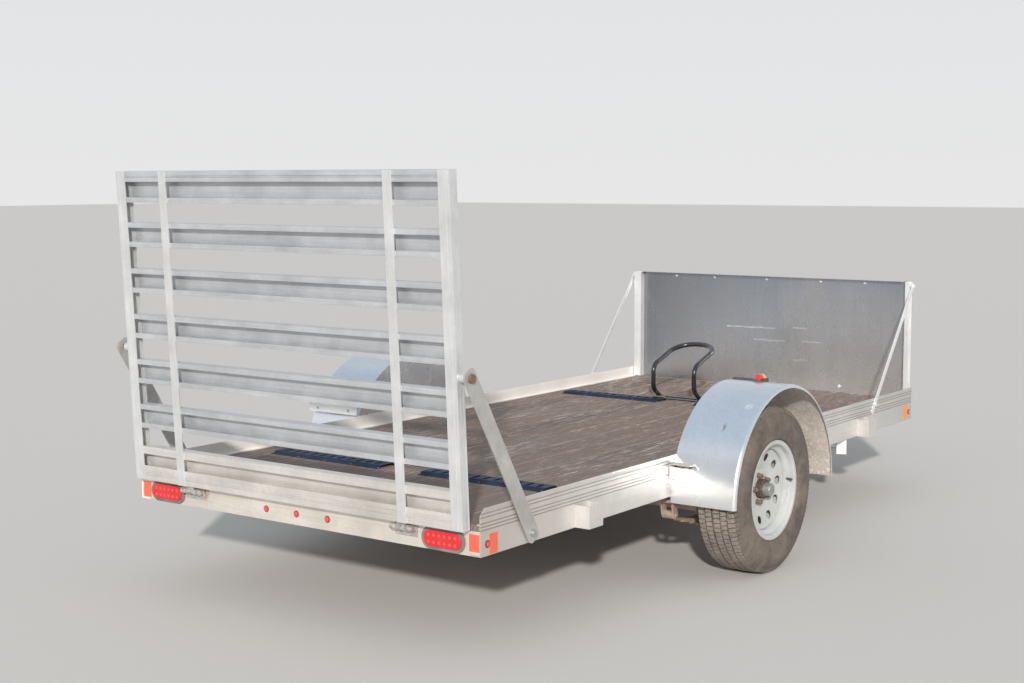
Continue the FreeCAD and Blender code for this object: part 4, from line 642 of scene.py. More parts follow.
# Wheel chock: a hoop of round black tube on a frame of flat bar, for a motorcycle's front wheel.
# The hoop is bent cold in one piece and welded to the frame at its feet.
CHOCK_PIN_R = 0.005
CHOCK_PIN_LENGTH = 0.07
dress("chock_hoop", black_paint, "black_steel", edge=0.0)
dress("chock_base", black_paint, "black_steel")
chock_low, chock_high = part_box("chock_base")
pin_middle = (
    chock_low.x + CHOCK_PIN_LENGTH / 2,
    chock_low.y + 0.008,
    chock_high.z + CHOCK_PIN_R,
)
chock_pin = rod("chock_pin", CHOCK_PIN_R, CHOCK_PIN_LENGTH, pin_middle, "X", 16)
round_edges(chock_pin, 0.0012)
yellow_zinc = two_tone("yellow_zinc", 0.8, 60, "Blotches", (0.3, 0.22, 0.12), (0.56, 0.45, 0.28), 0.35)
fit(chock_pin, "root", "zinc_steel", yellow_zinc)

# Front board: a bright aluminium sheet with a folded top edge between two posts,
# each held back to the side rail by a flat strut with a bolt at each end.
RIVET_R = 0.0085
RIVETS = [
    # along X, height
    (-0.581, 1.0615), (-0.331, 1.0615), (-0.002, 1.061), (0.324, 1.061), (0.58, 1.061),
    (0.442, 0.49),
]
SCRATCHES = [
    # X from, X to, height: grazes where a load has rubbed
    (-0.25, 0.052, 0.785),
    (0.156, 0.246, 0.795),
    (-0.078, 0.114, 0.718),
    (0.217, 0.337, 0.722),
    (0.171, 0.25, 0.617),
]
SCRATCH_HALF = 0.0035
# The sheet laps over the right post's inner side, so that much less of the post shows.
POST_COVERED = 0.021
POST_COVERED_TO = 0.8095


def sheet_metal(name, dark, light, roughness, waviness, painted_sheen_at, warmth=0.0):
    """Bright rolled sheet, clouded and a little wavy, paler toward its foot as a painted reflection.

    painted_sheen_at is (height of the foot, height of the top, share at the foot, share at the top),
    warmth the share of the upright brownish bands.
    """
    material, tree, shader = fresh_material(name, 0.85)
    place = object_place(tree)
    clouds = cloudy(place, 2.2, 2.0, 0.5, 0.1, 0.9)
    mottle = cloudy(stretched(place, (1.0, 1.0, 0.45)), 11.0, 3.0, 0.55, 0.1, 0.9)
    brushed = cloudy(stretched(place, (60, 60, 2)), 1.0, 3.0, 0.6)
    bands = cloudy(stretched(place, (5.5, 5.5, 0.9)), 1.0, 2.0, 0.5, 0.38, 0.62)
    fine = reckoned("MULTIPLY_ADD", brushed, 0.2, times(mottle, 0.2))
    tone = mixed(reckoned("MULTIPLY_ADD", clouds, 0.5, fine), dark, light)
    # Painted reflection: the tone pales toward the sheet's foot.
    tone = mixed(spread(place_parts(tree)["Z"], *painted_sheen_at), tone, (0.96, 0.965, 0.97))
    tone = mixed(times(bands, warmth), tone, (0.66, 0.6, 0.555))
    feed(shader["Base Color"], tone)
    feed(shader["Roughness"], spread(mottle, 0.0, 1.0, *roughness))
    feed(shader["Normal"], bumped(clouds, waviness, 0.5))
    return material


sheet_low, sheet_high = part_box("front_sheet")
board_sheet = sheet_metal(
    "board_sheet", (0.285, 0.315, 0.36), (0.5, 0.53, 0.575), (0.2, 0.34), 0.004,
    (sheet_low.z, sheet_high.z, 0.8, 0.06), 0.28,
)
graze, entry, leave = group_of("graze", {"From": 0.0, "To": 1.0, "Height": 0.0}, ("Mask",))
parts = place_parts(graze)
ragged = cloudy(stretched(object_place(graze), (90, 90, 420)), 1.0, 4.0, 0.7, 0.44, 0.48)
wander = cloudy(object_place(graze), 14.0, 1.0, 0.5, 0.0, 1.0)
rise = reckoned("SUBTRACT", reckoned("SUBTRACT", parts["Z"], entry["Height"]), 0.005)
rise = reckoned("ABSOLUTE", reckoned("MULTIPLY_ADD", wander, 0.01, rise))
band = reckoned("LESS_THAN", rise, SCRATCH_HALF)
after = reckoned("GREATER_THAN", parts["X"], entry["From"])
before = reckoned("LESS_THAN", parts["X"], entry["To"])
feed(leave["Mask"], times(times(band, times(after, before)), ragged))
tree = board_sheet.node_tree
# Painted shade: the sheet is darkened toward its left end.
painted_left_shade = spread(place_parts(tree)["X"], -0.75, 0.25, 0.8, 0.0)
layered(board_sheet, painted_left_shade, (0.2, 0.21, 0.235))
rubbed = 0.0
for start, stop, height in SCRATCHES:
    scratch = in_group(tree, graze, From=start, To=stop, Height=height)["Mask"]
    rubbed = reckoned("ADD", rubbed, scratch)
layered(board_sheet, rubbed, (1.0, 1.0, 1.0))
dress("front_sheet", board_sheet, "polished_aluminium", edge=0.0012)
rivets = []
for x, height in RIVETS:
    rivets.append(stand((x, sheet_high.y - 0.003, height), math.pi / 2))
# Painted glint: the rivets are near-white and only partly metallic, so that each shows as a bright dot.
rivet_painted_glint = two_tone("rivet_painted_glint", 0.4, 60, "Blotches", (0.8, 0.81, 0.82), (0.98, 0.98, 0.98))
zinc_plate = two_tone(
    "zinc_plate", 0.9, 45, "Blotches", (0.42, 0.42, 0.41), (0.66, 0.66, 0.64),
    ("Streaks", 0.32, 0.55), ("Specks", 0.6, (0.22, 0.13, 0.08)),
)
board_rivets = copies_at("board_rivets", screw_head("rivet", RIVET_R, 0.0025), rivets)
fit(board_rivets, "root", "zinc_steel", rivet_painted_glint)
front_posts = worked_copy("front_posts", BAR_EDGE)
shift(front_posts, lambda co: 0 < co.x < POST_COVERED_TO, (POST_COVERED, 0, 0))
fit(front_posts, "root", "mill_aluminium", post_metal, "front_posts")
dress("front_struts", post_metal)

# Running gear: a drop axle hung below two packs of leaf springs, with hangers, shackles and
# U-bolts, all in bare steel that has rusted and gathered pale dust.
rusty_steel = two_tone(
    "rusty_steel", 0.25, 30, "Streaks", (0.17, 0.11, 0.08), (0.56, 0.41, 0.33),
    ("Blotches", 0.95, 0.65), ("Blotches", 0.6, (0.66, 0.53, 0.46)), (0.0008, 0.6),
)
for node in ("axle_beam", "spring_hangers", "spring_shackles", "spring_clamps", "leaf_springs"):
    dress(node, rusty_steel, "rusty_steel", edge=0.0)

# Tyres: radial trailer tyres, a ribbed tread of five rows of blocks on a plain casing.
# The walls carry only moulded rings; dust from the road has settled all over the rubber.
TREAD_PITCHES = 104
TREAD_UNDER = 0.0001
TREAD_FALL = 0.0004
TREAD_ROWS = [
    # inner edge, outer edge along the axle, turn of the row in pitches
    (-0.0145, 0.0145, 0.0),
    (0.0182, 0.0455, 0.33),
    (0.0492, 0.0785, 0.66),
]
CASING_WALL = [
    # along the axle from the middle, radius
    (0.0, 0.337), (0.04, 0.3368), (0.066, 0.335), (0.079, 0.33), (0.088, 0.32),
    (0.0935, 0.308), (0.0958, 0.301), (0.0972, 0.3005), (0.099, 0.294), (0.0994, 0.289),
    (0.1005, 0.288), (0.102, 0.27), (0.1018, 0.256), (0.0998, 0.242), (0.0984, 0.234),
    (0.0992, 0.2325), (0.0984, 0.23), (0.095, 0.221), (0.0945, 0.2165), (0.09, 0.211),
    (0.0808, 0.2085), (0.0808, 0.1905),
]


def drawn_outline(name, points):
    """A closed outline, drawn one vertex after the other; points are places."""
    bpy.ops.mesh.primitive_plane_add(size=0.001, location=points[0])
    piece = bpy.context.object
    piece.name = name
    settle(piece)
    mode("EDIT")
    bpy.ops.mesh.select_mode(type="VERT")
    bpy.ops.mesh.select_all(action="SELECT")
    bpy.ops.mesh.merge(type="CENTER")
    for before, point in zip(points, points[1:]):
        step = Vector(point) - Vector(before)
        bpy.ops.mesh.extrude_vertices_move(TRANSFORM_OT_translate={"value": step})
    bpy.ops.mesh.select_all(action="SELECT")
    bpy.ops.mesh.edge_face_add()
    return piece


def face_out():
    """In edit mode, turns every face outwards, then goes back to object mode."""
    bpy.ops.mesh.select_all(action="SELECT")
    bpy.ops.mesh.normals_make_consistent(inside=False)
    mode("OBJECT")


def turned(name, outline, centre, steps=128, angle=2 * math.pi, start=0.0):
    """A solid turned about the X line through the centre; outline is (along X, radius)."""
    rise = Vector((0, math.sin(start), math.cos(start)))
    points = [centre + Vector((along, 0, 0)) + rise * radius for along, radius in outline]
    piece = drawn_outline(name, points)
    if angle > 2 * math.pi - 0.001:
        bpy.ops.mesh.delete(type="ONLY_FACE")
        bpy.ops.mesh.select_all(action="SELECT")
    bpy.ops.mesh.spin(steps=steps, angle=angle, center=centre, axis=(1, 0, 0))
    bpy.ops.mesh.select_all(action="SELECT")
    bpy.ops.mesh.remove_doubles(threshold=1e-5)
    face_out()
    return piece


def rubber(name, bare, dusty, cut=0.0):
    """Black rubber that road dust has greyed unevenly; cut is how dark its fine slits are."""
    material, tree, shader = fresh_material(name, 0.0)
    marks = in_group(tree, metal_marks, Stretch=(25, 25, 25))
    dust = reckoned("MULTIPLY_ADD", marks["Blotches"], 0.55, times(marks["Streaks"], 0.35))
    slits = cloudy(stretched(object_place(tree), (1.0, 0.5, 1.0)), 330.0, 1.0, 0.5, 0.52, 0.58)
    worn = mixed(dust, bare, dusty)
    feed(shader["Base Color"], mixed(times(slits, cut), worn, (0.05, 0.045, 0.04)))
    feed(shader["Roughness"], spread(dust, 0.0, 1.0, 0.72, 0.95))
    feed(shader["Normal"], bumped(marks["Streaks"], 0.0006, 0.5))
    return material


tyre_rubber = rubber("tyre_rubber", (0.05, 0.046, 0.044), (0.3, 0.245, 0.2))
tread_rubber = rubber("tread_rubber", (0.19, 0.165, 0.15), (0.5, 0.43, 0.37), 0.75)


def tread_block(low, high, radius, outer):
    """One block of a tread row, at the top of the tyre, its middle on the centre plane."""
    half = math.pi * radius / TREAD_PITCHES - 0.0012
    middle = (low + high) / 2
    shoulder = radius - 0.005
    block = bar("block", (low, -half, radius - 0.011), (high, half, radius))
    shift(block, lambda co: co.x > middle, (0, 0.004, 0))
    if outer:
        shift(block, lambda co: co.x > middle and co.z > shoulder, (0, 0, -0.0035))
        shift(block, lambda co: co.x > middle and co.z < shoulder, (0.01, 0, -0.012))
    mode("EDIT")
    bpy.ops.mesh.select_all(action="SELECT")
    bpy.ops.mesh.bisect(plane_co=(0, 0, radius), plane_no=(0, 1, 0))
    mode("OBJECT")
    shift(block, lambda co: abs(co.y) < 0.0005, (0.0026, 0, 0))
    round_edges(block, 0.0008, 1, 30)
    return block


def second_finish(piece, material, wanted):
    """Gives the faces that are wanted another finish."""
    piece.data.materials.append(material)
    pick_faces(piece, wanted)
    piece.active_material_index = 1
    bpy.ops.object.material_slot_assign()
    mode("OBJECT")


def tyre(side):
    """A plain casing turned from its outline, and the rows of tread blocks around it."""
    low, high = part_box("tyre_" + side)
    centre = (low + high) / 2
    radius = (high.z - low.z) / 2
    body = "wheel_" + side
    wall = [(-along, reach) for along, reach in reversed(CASING_WALL)]
    casing = turned("casing", wall + CASING_WALL[1:], centre, 144)
    smooth(casing, 50)
    rows = []
    for row, (inner, outer, turn) in enumerate(TREAD_ROWS):
        top = radius - TREAD_UNDER - TREAD_FALL * row
        for sign in (1, -1) if row else (1,):
            block = tread_block(inner, outer, top, row == len(TREAD_ROWS) - 1)
            flip = stand((0, 0, 0), 0 if sign > 0 else math.pi, "Z")
            places = []
            for pitch in range(TREAD_PITCHES):
                angle = 2 * math.pi * (pitch + turn * sign) / TREAD_PITCHES
                places.append(stand(centre, angle) @ flip)
            rows.append(copies_at("tread_row", block, places))
    tread = fit(joined("tread_" + side, rows), body, "tyre", tread_rubber)

    def flank(place, normal):
        away = Vector((0, place.y - centre.y, place.z - centre.z))
        return normal.dot(away.normalized()) < 0.75

    second_finish(tread, tyre_rubber, flank)
    fit(casing, body, "tyre", tyre_rubber, "tyre_" + side).name = "tyre_" + side + "_made"


for side in ("left", "right"):
    tyre(side)

# Wheels: pressed steel, grey-white enamel: a dished disc with ten holes, welded into a
# dropped-centre barrel. A rubber valve stands in the barrel's outer slope.
RIM_BARREL = [
    # along the axle from the wheel's middle, radius: the outer face, then the tyre's side
    (-0.088, 0.1865), (-0.03, 0.1865), (-0.012, 0.1675), (0.05, 0.1675), (0.0545, 0.169),
    (0.062, 0.185), (0.0655, 0.1867), (0.082, 0.1872), (0.0858, 0.1905), (0.0866, 0.196),
    (0.0868, 0.2035), (0.085, 0.2064), (0.082, 0.207), (0.0818, 0.203), (0.0826, 0.196),
    (0.0815, 0.1906), (0.062, 0.19), (0.0495, 0.171), (-0.0105, 0.171), (-0.0285, 0.19),
    (-0.081, 0.19), (-0.081, 0.207), (-0.088, 0.207),
]
RIM_DISC = [
    (0.014, 0.041), (0.014, 0.08), (0.03, 0.13), (0.0375, 0.159), (0.037, 0.1635),
    (0.03, 0.1635), (0.03, 0.1674), (0.0385, 0.1674), (0.0418, 0.1655), (0.042, 0.161),
    (0.034, 0.129), (0.0195, 0.084), (0.018, 0.08), (0.018, 0.041),
]
DISC_HOLES = 10
DISC_HOLE_TURN = math.radians(25.3)
DISC_HOLE_AT = 0.13
DISC_HOLE_R = 0.0165
DISC_HOLE_REACH = 0.0025
WHEEL_MIDDLE = 1.036


def drum(name, radius, low, high, rise=0.0, sides=32, ease=0.0):
    """A round bar along X from low to high, about a line that rises over the origin."""
    piece = rod(name, radius, high - low, ((low + high) / 2, 0, rise), "X", sides)
    if ease:
        round_edges(piece, ease)
    return piece


def sided(piece, side):
    """A right-hand piece, mirrored into the left-hand one where that side is asked for."""
    if side == "left":
        alone(piece)
        piece.scale = (-1, 1, 1)
        bpy.ops.object.transform_apply(location=False, rotation=False, scale=True)
        mode("EDIT")
        face_out()
    return piece


wheel_enamel = two_tone(
    "wheel_enamel", 0.0, 45, "Blotches", (0.61, 0.645, 0.64), (0.49, 0.505, 0.49),
    ("Blotches", 0.3, 0.5), ("Specks", "Blotches", (0.2, 0.13, 0.09)), (0.0002, 0.4),
)
valve_rubber = two_tone("valve_rubber", 0.0, 60, "Streaks", (0.04, 0.04, 0.04), (0.16, 0.16, 0.15), 0.6)

axle_low, axle_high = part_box("tyre_right")
wheel_centre = (axle_low + axle_high) / 2
wheel_centre.x = WHEEL_MIDDLE


def wheel():
    """The right wheel's barrel and disc, its holes cut and their edges rolled in."""
    barrel = turned("barrel", RIM_BARREL, wheel_centre, 112)
    smooth(barrel, 38)
    disc = turned("disc", RIM_DISC, wheel_centre, 112)
    cutters = []
    for number in range(DISC_HOLES):
        hole = drum("hole", DISC_HOLE_R, 0, 0.08, DISC_HOLE_AT, 28)
        for sign in (1, -1):
            shift(hole, lambda co: co.y * sign > 0.0001, (0, DISC_HOLE_REACH * sign, 0))
        turn = DISC_HOLE_TURN + 2 * math.pi * number / DISC_HOLES
        hole.matrix_world = stand(wheel_centre, turn)
        settle(hole)
        cutters.append(hole)
    carved(disc, joined("holes", cutters))
    round_edges(disc, 0.0014, 2, 50)
    return joined("wheel", [barrel, disc])


def valve():
    """A moulded rubber valve with a cap, leaning in a little."""
    outline = [
        (-0.004, 0.0), (-0.004, 0.0085), (0.0, 0.0085), (0.003, 0.0058), (0.024, 0.0042),
        (0.0245, 0.0052), (0.036, 0.005), (0.0375, 0.0035), (0.0375, 0.0),
    ]
    piece = turned("valve", outline, Vector((0, 0, 0)), 16)
    smooth(piece)
    place = wheel_centre + Vector((0.048, 0.1745, 0.018))
    piece.matrix_world = stand(place, math.radians(-12), "Z")
    settle(piece)
    return piece


for side in ("left", "right"):
    for made, node, slot, material in (
        (wheel(), ("rim_" + side,), "wheel_paint", wheel_enamel),
        (valve(), (), "tyre", valve_rubber),
    ):
        fit(sided(made, side), "wheel_" + side, slot, material, *node)
        made.name = ("wheel_" if node else "valve_") + side + "_made"

# Hubs: a dark iron casting that turns on the axle's spindle and carries the wheel on five studs.
# The cone nuts have gone rusty, and a pressed grey cap closes the bearing.
HUB_OUTLINE = [
    (-0.06, 0.0163), (-0.06, 0.0425), (-0.0585, 0.044), (0.004, 0.044), (0.004, 0.0705),
    (0.0055, 0.072), (0.0139, 0.072), (0.0139, 0.0405), (0.043, 0.0405), (0.046, 0.0375),
    (0.046, 0.0163),
]
CAP_OUTLINE = [
    (0.04, 0.0), (0.04, 0.0285), (0.0475, 0.0285), (0.049, 0.0268), (0.072, 0.0262),
    (0.0755, 0.024), (0.0765, 0.02), (0.077, 0.01), (0.0771, 0.0),
]
STUD_COUNT = 5
STUD_TURN = math.radians(32)
STUD_RING_R = 0.05715
NUT_R = 0.01
NUT_FROM = 0.018
NUT_LENGTH = 0.02

hub_casting = two_tone(
    "hub_casting", 0.55, 60, "Streaks", (0.055, 0.045, 0.04), (0.2, 0.17, 0.15),
    ("Blotches", 0.45, 0.8), ("Blotches", 0.5, (0.16, 0.095, 0.06)), (0.0006, 0.5),
)
nut_steel = two_tone(
    "nut_steel", 0.5, 90, "Streaks", (0.09, 0.055, 0.04), (0.42, 0.32, 0.25),
    ("Streaks", 0.45, 0.7), ("Specks", 1.0, (0.2, 0.1, 0.05)),
)
cap_steel = two_tone(
    "cap_steel", 0.75, 60, "Blotches", (0.33, 0.35, 0.32), (0.54, 0.56, 0.52),
    ("Streaks", 0.4, 0.6), ("Specks", 1.0, (0.22, 0.16, 0.12)),
)


def wheel_nut():
    """A stud's end and its six-sided cone nut, standing out along X from the origin."""
    nut = drum("nut", NUT_R, 0, NUT_LENGTH, sides=6)
    pick_faces(nut, lambda centre, normal: normal.x > 0.9)
    bpy.ops.mesh.inset(thickness=0.0022)
    bpy.ops.transform.translate(value=(0.0018, 0, 0))
    mode("OBJECT")
    round_edges(nut, 0.0008, 1)
    stud = drum("stud", 0.006, NUT_LENGTH, NUT_LENGTH + 0.005, sides=14, ease=0.001)
    washer = drum("washer", 0.0122, -0.0005, 0.0025, sides=20, ease=0.0006)
    return joined("wheel_nut", [nut, stud, washer])


for side in ("left", "right"):
    hub = turned("hub", HUB_OUTLINE, wheel_centre, 48)
    smooth(hub)
    cap = turned("cap", CAP_OUTLINE, wheel_centre, 48)
    smooth(cap, 50)
    nut_places = []
    for number in range(STUD_COUNT):
        turn = STUD_TURN + 2 * math.pi * number / STUD_COUNT
        away = Vector((NUT_FROM, STUD_RING_R * math.cos(turn), STUD_RING_R * math.sin(turn)))
        nut_places.append(stand(wheel_centre + away))
    nuts = copies_at("wheel_nuts", wheel_nut(), nut_places)
    for made in (hub, cap, nuts):
        sided(made, side)
    body = "wheel_" + side
    fit(hub, body, "hub_steel", hub_casting, "hub_" + side).name = "hub_" + side + "_made"
    fit(cap, body, "hub_steel", cap_steel).name = "hub_cap_" + side
    fit(nuts, body, "hub_steel", nut_steel).name = "wheel_nuts_" + side

# Fenders: rolled bright aluminium sheet, rounded down along its outer edge and welded to a flat
# back at the bed, bolted to two shelf angles. Mud has dried on the side toward the wheel, and that
# side is painted paler than the mud as painted sunlight.
FENDER_SHEET = 0.003
FENDER_ROUND = 0.015
FENDER_ROUND_STEPS = 10
FENDER_BACK_FOOT = 0.485
FENDER_TURNS = 120

fender_low, fender_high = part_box("fender_right")
fender_skin = sheet_metal(
    "fender_skin", (0.6, 0.645, 0.7), (0.86, 0.9, 0.94), (0.2, 0.32), 0.003,
    (fender_low.z + 0.18, fender_low.z + 0.26, 0.75, 0.0),
)
# A white scuff on the fender's top, a brown scrape, and a painted shadow under its bracket's shelf.
shelf_shadow_y = shelf_low.y + 0.042
for middle, size, colour, share in (
    ((1.088, rear_y + 1.468, 0.707), (0.022, 0.03, 0.014), (1.0, 1.0, 1.0), 1.0),
    ((1.028, rear_y + 1.376, 0.631), (0.009, 0.03, 0.022), (0.42, 0.2, 0.14), 0.8),
    ((0.895, shelf_shadow_y, shelf_high.z - 0.013), (0.075, 0.03, 0.016), (0.08, 0.06, 0.05), 1.0),
):
    marked(fender_skin, middle, size, colour, share)
# The side toward the wheel: dried mud, its film and splashes painted paler than the mud as painted
# sunlight.
mud_and_sunlight, tree, shader = fresh_material("mud_and_sunlight_sheet", 0.15)
marks = in_group(tree, metal_marks, Stretch=(60, 60, 60))
mud = reckoned("MAXIMUM", marks["Specks"], spread(marks["Streaks"], 0.55, 0.75))
film = mixed(marks["Blotches"], (0.5, 0.45, 0.4), (0.74, 0.68, 0.62))
feed(shader["Base Color"], mixed(mud, film, (0.86, 0.8, 0.73)))
feed(shader["Roughness"], spread(marks["Blotches"], 0.0, 1.0, 0.6, 0.85))
feed(shader["Normal"], bumped(mud, 0.0008, 0.6))


def fender_back(middle, radius):
    """The flat back: a sheet cut to the skin's arc, its foot behind the rail."""
    drop = math.asin((FENDER_BACK_FOOT - middle.z) / radius)
    points = []
    for step in range(FENDER_TURNS // 2 + 1):
        turn = drop + (math.pi - 2 * drop) * step / (FENDER_TURNS // 2)
        points.append(middle + Vector((0.0002, radius * math.cos(turn), radius * math.sin(turn))))
    piece = drawn_outline("fender_back", points)
    bpy.ops.mesh.select_all(action="SELECT")
    thick = Vector((FENDER_SHEET - 0.0002, 0, 0))
    bpy.ops.mesh.extrude_region_move(TRANSFORM_OT_translate={"value": thick})
    face_out()
    return piece


def fender():
    """The right fender: its skin turned about the X line through its middle, and its back."""
    low, high = fender_low, fender_high
    reach = (high.y - low.y) / 2
    middle = Vector((low.x, (low.y + high.y) / 2, high.z - reach))
    width = high.x - low.x
    outer = [(0, reach)]
    bead = FENDER_ROUND - FENDER_SHEET
    inner = [(0, reach - FENDER_SHEET)]
    for step in range(FENDER_ROUND_STEPS + 1):
        turn = math.pi / 2 * step / FENDER_ROUND_STEPS
        along = width - FENDER_ROUND + FENDER_ROUND * math.sin(turn)
        outer.append((along, reach - FENDER_ROUND + FENDER_ROUND * math.cos(turn)))
        along = width - FENDER_ROUND + bead * math.sin(turn)
        inner.insert(0, (along, reach - FENDER_ROUND + bead * math.cos(turn)))
    leg = math.asin((low.z - middle.z) / reach)
    start = -math.pi / 2 + leg
    piece = turned("fender", outer + inner, middle, FENDER_TURNS, math.pi - 2 * leg, start)
    smooth(piece)
    back = fender_back(middle, reach - FENDER_SHEET / 2)
    piece = joined("fender", [piece, back])
    piece.data.materials.clear()
    piece.data.materials.append(fender_skin)

    def inside(centre, normal):
        away = Vector((0, centre.y - middle.y, centre.z - middle.z))
        return normal.dot(away.normalized()) < -0.3 or (normal.x > 0.5 and centre.x < low.x + 0.01)

    second_finish(piece, mud_and_sunlight, inside)
    return piece


for side in ("left", "right"):
    made = sided(fender(), side)
    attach(made, "root")
    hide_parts("fender_" + side)
    made.name = "fender_" + side + "_made"
dress("fender_brackets", cross_metal)

# Stake pockets: short boxes of three aluminium walls, bent from plate and sawn to length,
# welded to the outside of each rail, and open at the top and the foot.
pocket_metal = aluminium("pocket_metal", ALONG_Z, (0.64, 0.61, 0.58), (0.88, 0.855, 0.825), 0.3)
for node in ("stake_pockets_left", "stake_pockets_right"):
    dress(node, pocket_metal)

# Lamps: an oval red lamp in a rubber ring near each end of the rear member, three small round
# ones between them, a round marker on each rail's ends, and patches of reflecting tape.
TAIL_RING = (0.19, 0.082)
TAIL_LENS = (0.166, 0.058)
LED_ROWS = (-0.0125, 0.0125)
LED_PITCH = 0.0235
LED_COUNT = 6
TAPE = 0.0006
MARKER_R = 0.014
RAIL_FACE = 0.854

RED = (0.62, 0.016, 0.02), (0.76, 0.034, 0.038)
GLOW = (0.86, 0.045, 0.052), (0.93, 0.1, 0.1)
AMBER = (0.85, 0.3, 0.03), (0.92, 0.42, 0.08)
lamp_red = two_tone("lamp_red", 0.0, 60, "Blotches", *RED, 0.18, coat=0.5)
led_red = two_tone("led_red", 0.0, 90, "Streaks", *GLOW, 0.15, coat=0.8)
ring_rubber = two_tone(
    "ring_rubber", 0.0, 60, "Blotches", (0.13, 0.115, 0.105), (0.34, 0.3, 0.27), ("Streaks", 0.6, 0.85)
)
lamp_amber = two_tone("lamp_amber", 0.0, 60, "Blotches", *AMBER, 0.18, coat=0.5)


def tape(name, colour, pale):
    """Reflecting tape: a fine honeycomb of cells, dusty and a little faded."""
    material, tree, shader = fresh_material(name, 0.0, 0.35)
    cells = placed(tree, "ShaderNodeTexVoronoi", feature="DISTANCE_TO_EDGE")
    feed(cells.inputs["Vector"], object_place(tree))
    feed(cells.inputs["Scale"], 260)
    marks = in_group(tree, metal_marks, Stretch=(60, 60, 60))
    edges = spread(cells.outputs["Distance"], 0.0, 0.12, 0.5, 0.0)
    feed(shader["Base Color"], mixed(edges, mixed(marks["Blotches"], colour, pale), pale))
    return material


red_tape = tape("red_tape", (0.86, 0.095, 0.045), (0.92, 0.2, 0.12))
amber_tape = tape("amber_tape", (0.9, 0.25, 0.03), (0.95, 0.42, 0.1))


def oval(name, long, high, low_y, high_y, x, z, ease):
    """A flat oval pad facing the rear, with rounded edges."""
    radius = high / 2
    piece = rod(name, radius, high_y - low_y, (x, (low_y + high_y) / 2, z), "Y", 48)
    for sign in (1, -1):
        shift(piece, lambda co: (co.x - x) * sign > 0.0001, ((long / 2 - radius) * sign, 0, 0))
    round_edges(piece, ease, 3)
    return piece


def rear_dome(name, radius, low_y, x, z, proud, sides=20):
    """A low dome facing the rear, standing on a disc."""
    piece = rod(name, radius, proud, (x, low_y - proud / 2, z), "Y", sides)
    pick_faces(piece, lambda centre, normal: normal.y < -0.9)
    for step in range(3):
        bpy.ops.mesh.inset(thickness=radius * 0.24)
        bpy.ops.transform.translate(value=(0, -proud * (0.3, 0.18, 0.07)[step], 0))
    mode("OBJECT")
    smooth(piece, 60)
    return piece


tail_low, tail_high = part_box("tail_lamps")
lamp_z = (tail_low.z + tail_high.z) / 2
rings, lenses, leds = [], [], []
for x in (tail_low.x + TAIL_RING[0] / 2, tail_high.x - TAIL_RING[0] / 2):
    ring = oval("ring", *TAIL_RING, rear_y - 0.007, rear_y + 0.034, x, lamp_z, 0.0028)
    rings.append(ring)
    lens = oval("lens", *TAIL_LENS, rear_y - 0.0125, rear_y - 0.004, x, lamp_z, 0.0035)
    lenses.append(lens)
    for row in LED_ROWS:
        for number in range(LED_COUNT):
            led_x = x + (number - (LED_COUNT - 1) / 2) * LED_PITCH
            leds.append(stand((led_x, 0, lamp_z + row)))
fit(joined("tail_rings", rings), "root", "tyre", ring_rubber, "tail_lamps")
fit(joined("tail_lenses", lenses), "root", "lamp_red", lamp_red)
led = rear_dome("led", 0.0066, rear_y - 0.0116, 0, 0, 0.0008, 14)
fit(copies_at("tail_leds", led, leds), "root", "lamp_red", led_red)

id_low, id_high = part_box("id_lamps")
id_rings, id_domes = [], []
for x in (id_low.x + 0.013, 0, id_high.x - 0.013):
    id_rings.append(rear_dome("id_ring", 0.0128, rear_y, x, lamp_z, 0.0018))
    id_domes.append(rear_dome("id_dome", 0.009, rear_y - 0.0016, x, lamp_z, 0.0026))
id_tone = two_tone("id_ring_paint", 0.0, 60, "Blotches", (0.22, 0.02, 0.028), (0.36, 0.07, 0.08), 0.4)
fit(joined("id_rings", id_rings), "root", "lamp_red", id_tone, "id_lamps")
fit(joined("id_domes", id_domes), "root", "lamp_red", led_red)

rear_patches = [
    # x from, x to, y from the rear member, y to, z from, z to
    (0.805, 0.849, -TAPE, 0, 0.365, 0.426),
    (-0.842, -0.797, -TAPE, 0, 0.358, 0.419),
    (RAIL_FACE, RAIL_FACE + TAPE, 0.049, 0.096, 0.352, 0.423),
    (-RAIL_FACE - TAPE, -RAIL_FACE, 0.049, 0.096, 0.352, 0.423),
]
front_patches = [
    (RAIL_FACE, RAIL_FACE + TAPE, 3.65, 3.705, 0.357, 0.433),
    (-RAIL_FACE - TAPE, -RAIL_FACE, 3.65, 3.705, 0.357, 0.433),
]
for name, material, slot, places in (
    ("rear_tapes", red_tape, "lamp_red", rear_patches),
    ("front_tapes", amber_tape, "lamp_amber", front_patches),
):
    patches = []
    for x0, x1, y0, y1, z0, z1 in places:
        patch = bar("patch", (x0, rear_y + y0, z0), (x1, rear_y + y1, z1))
        round_edges(patch, 0.0002, 1)
        patches.append(patch)
    fit(joined(name, patches), "root", slot, material)
marker_low, marker_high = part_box("side_markers")
marker_places = []
for sign in (1, -1):
    for y in (marker_low.y + MARKER_R, marker_high.y - MARKER_R):
        place = (RAIL_FACE * sign, y, marker_low.z + MARKER_R)
        marker_places.append(stand(place, math.pi / 2 * sign, "Z"))
dark_red = two_tone("dark_red", 0.0, 60, "Blotches", (0.07, 0.012, 0.018), (0.2, 0.05, 0.06), 0.3)
for name, radius, start, proud, material, nodes in (
    ("marker_rings", 0.0138, 0.0, 0.0012, dark_red, ("side_markers",)),
    ("marker_domes", 0.009, -0.0012, 0.0017, led_red, ()),
):
    made = copies_at(name, rear_dome("marker", radius, start, 0, 0, proud), marker_places)
    fit(made, "root", "lamp_red", material, *nodes)

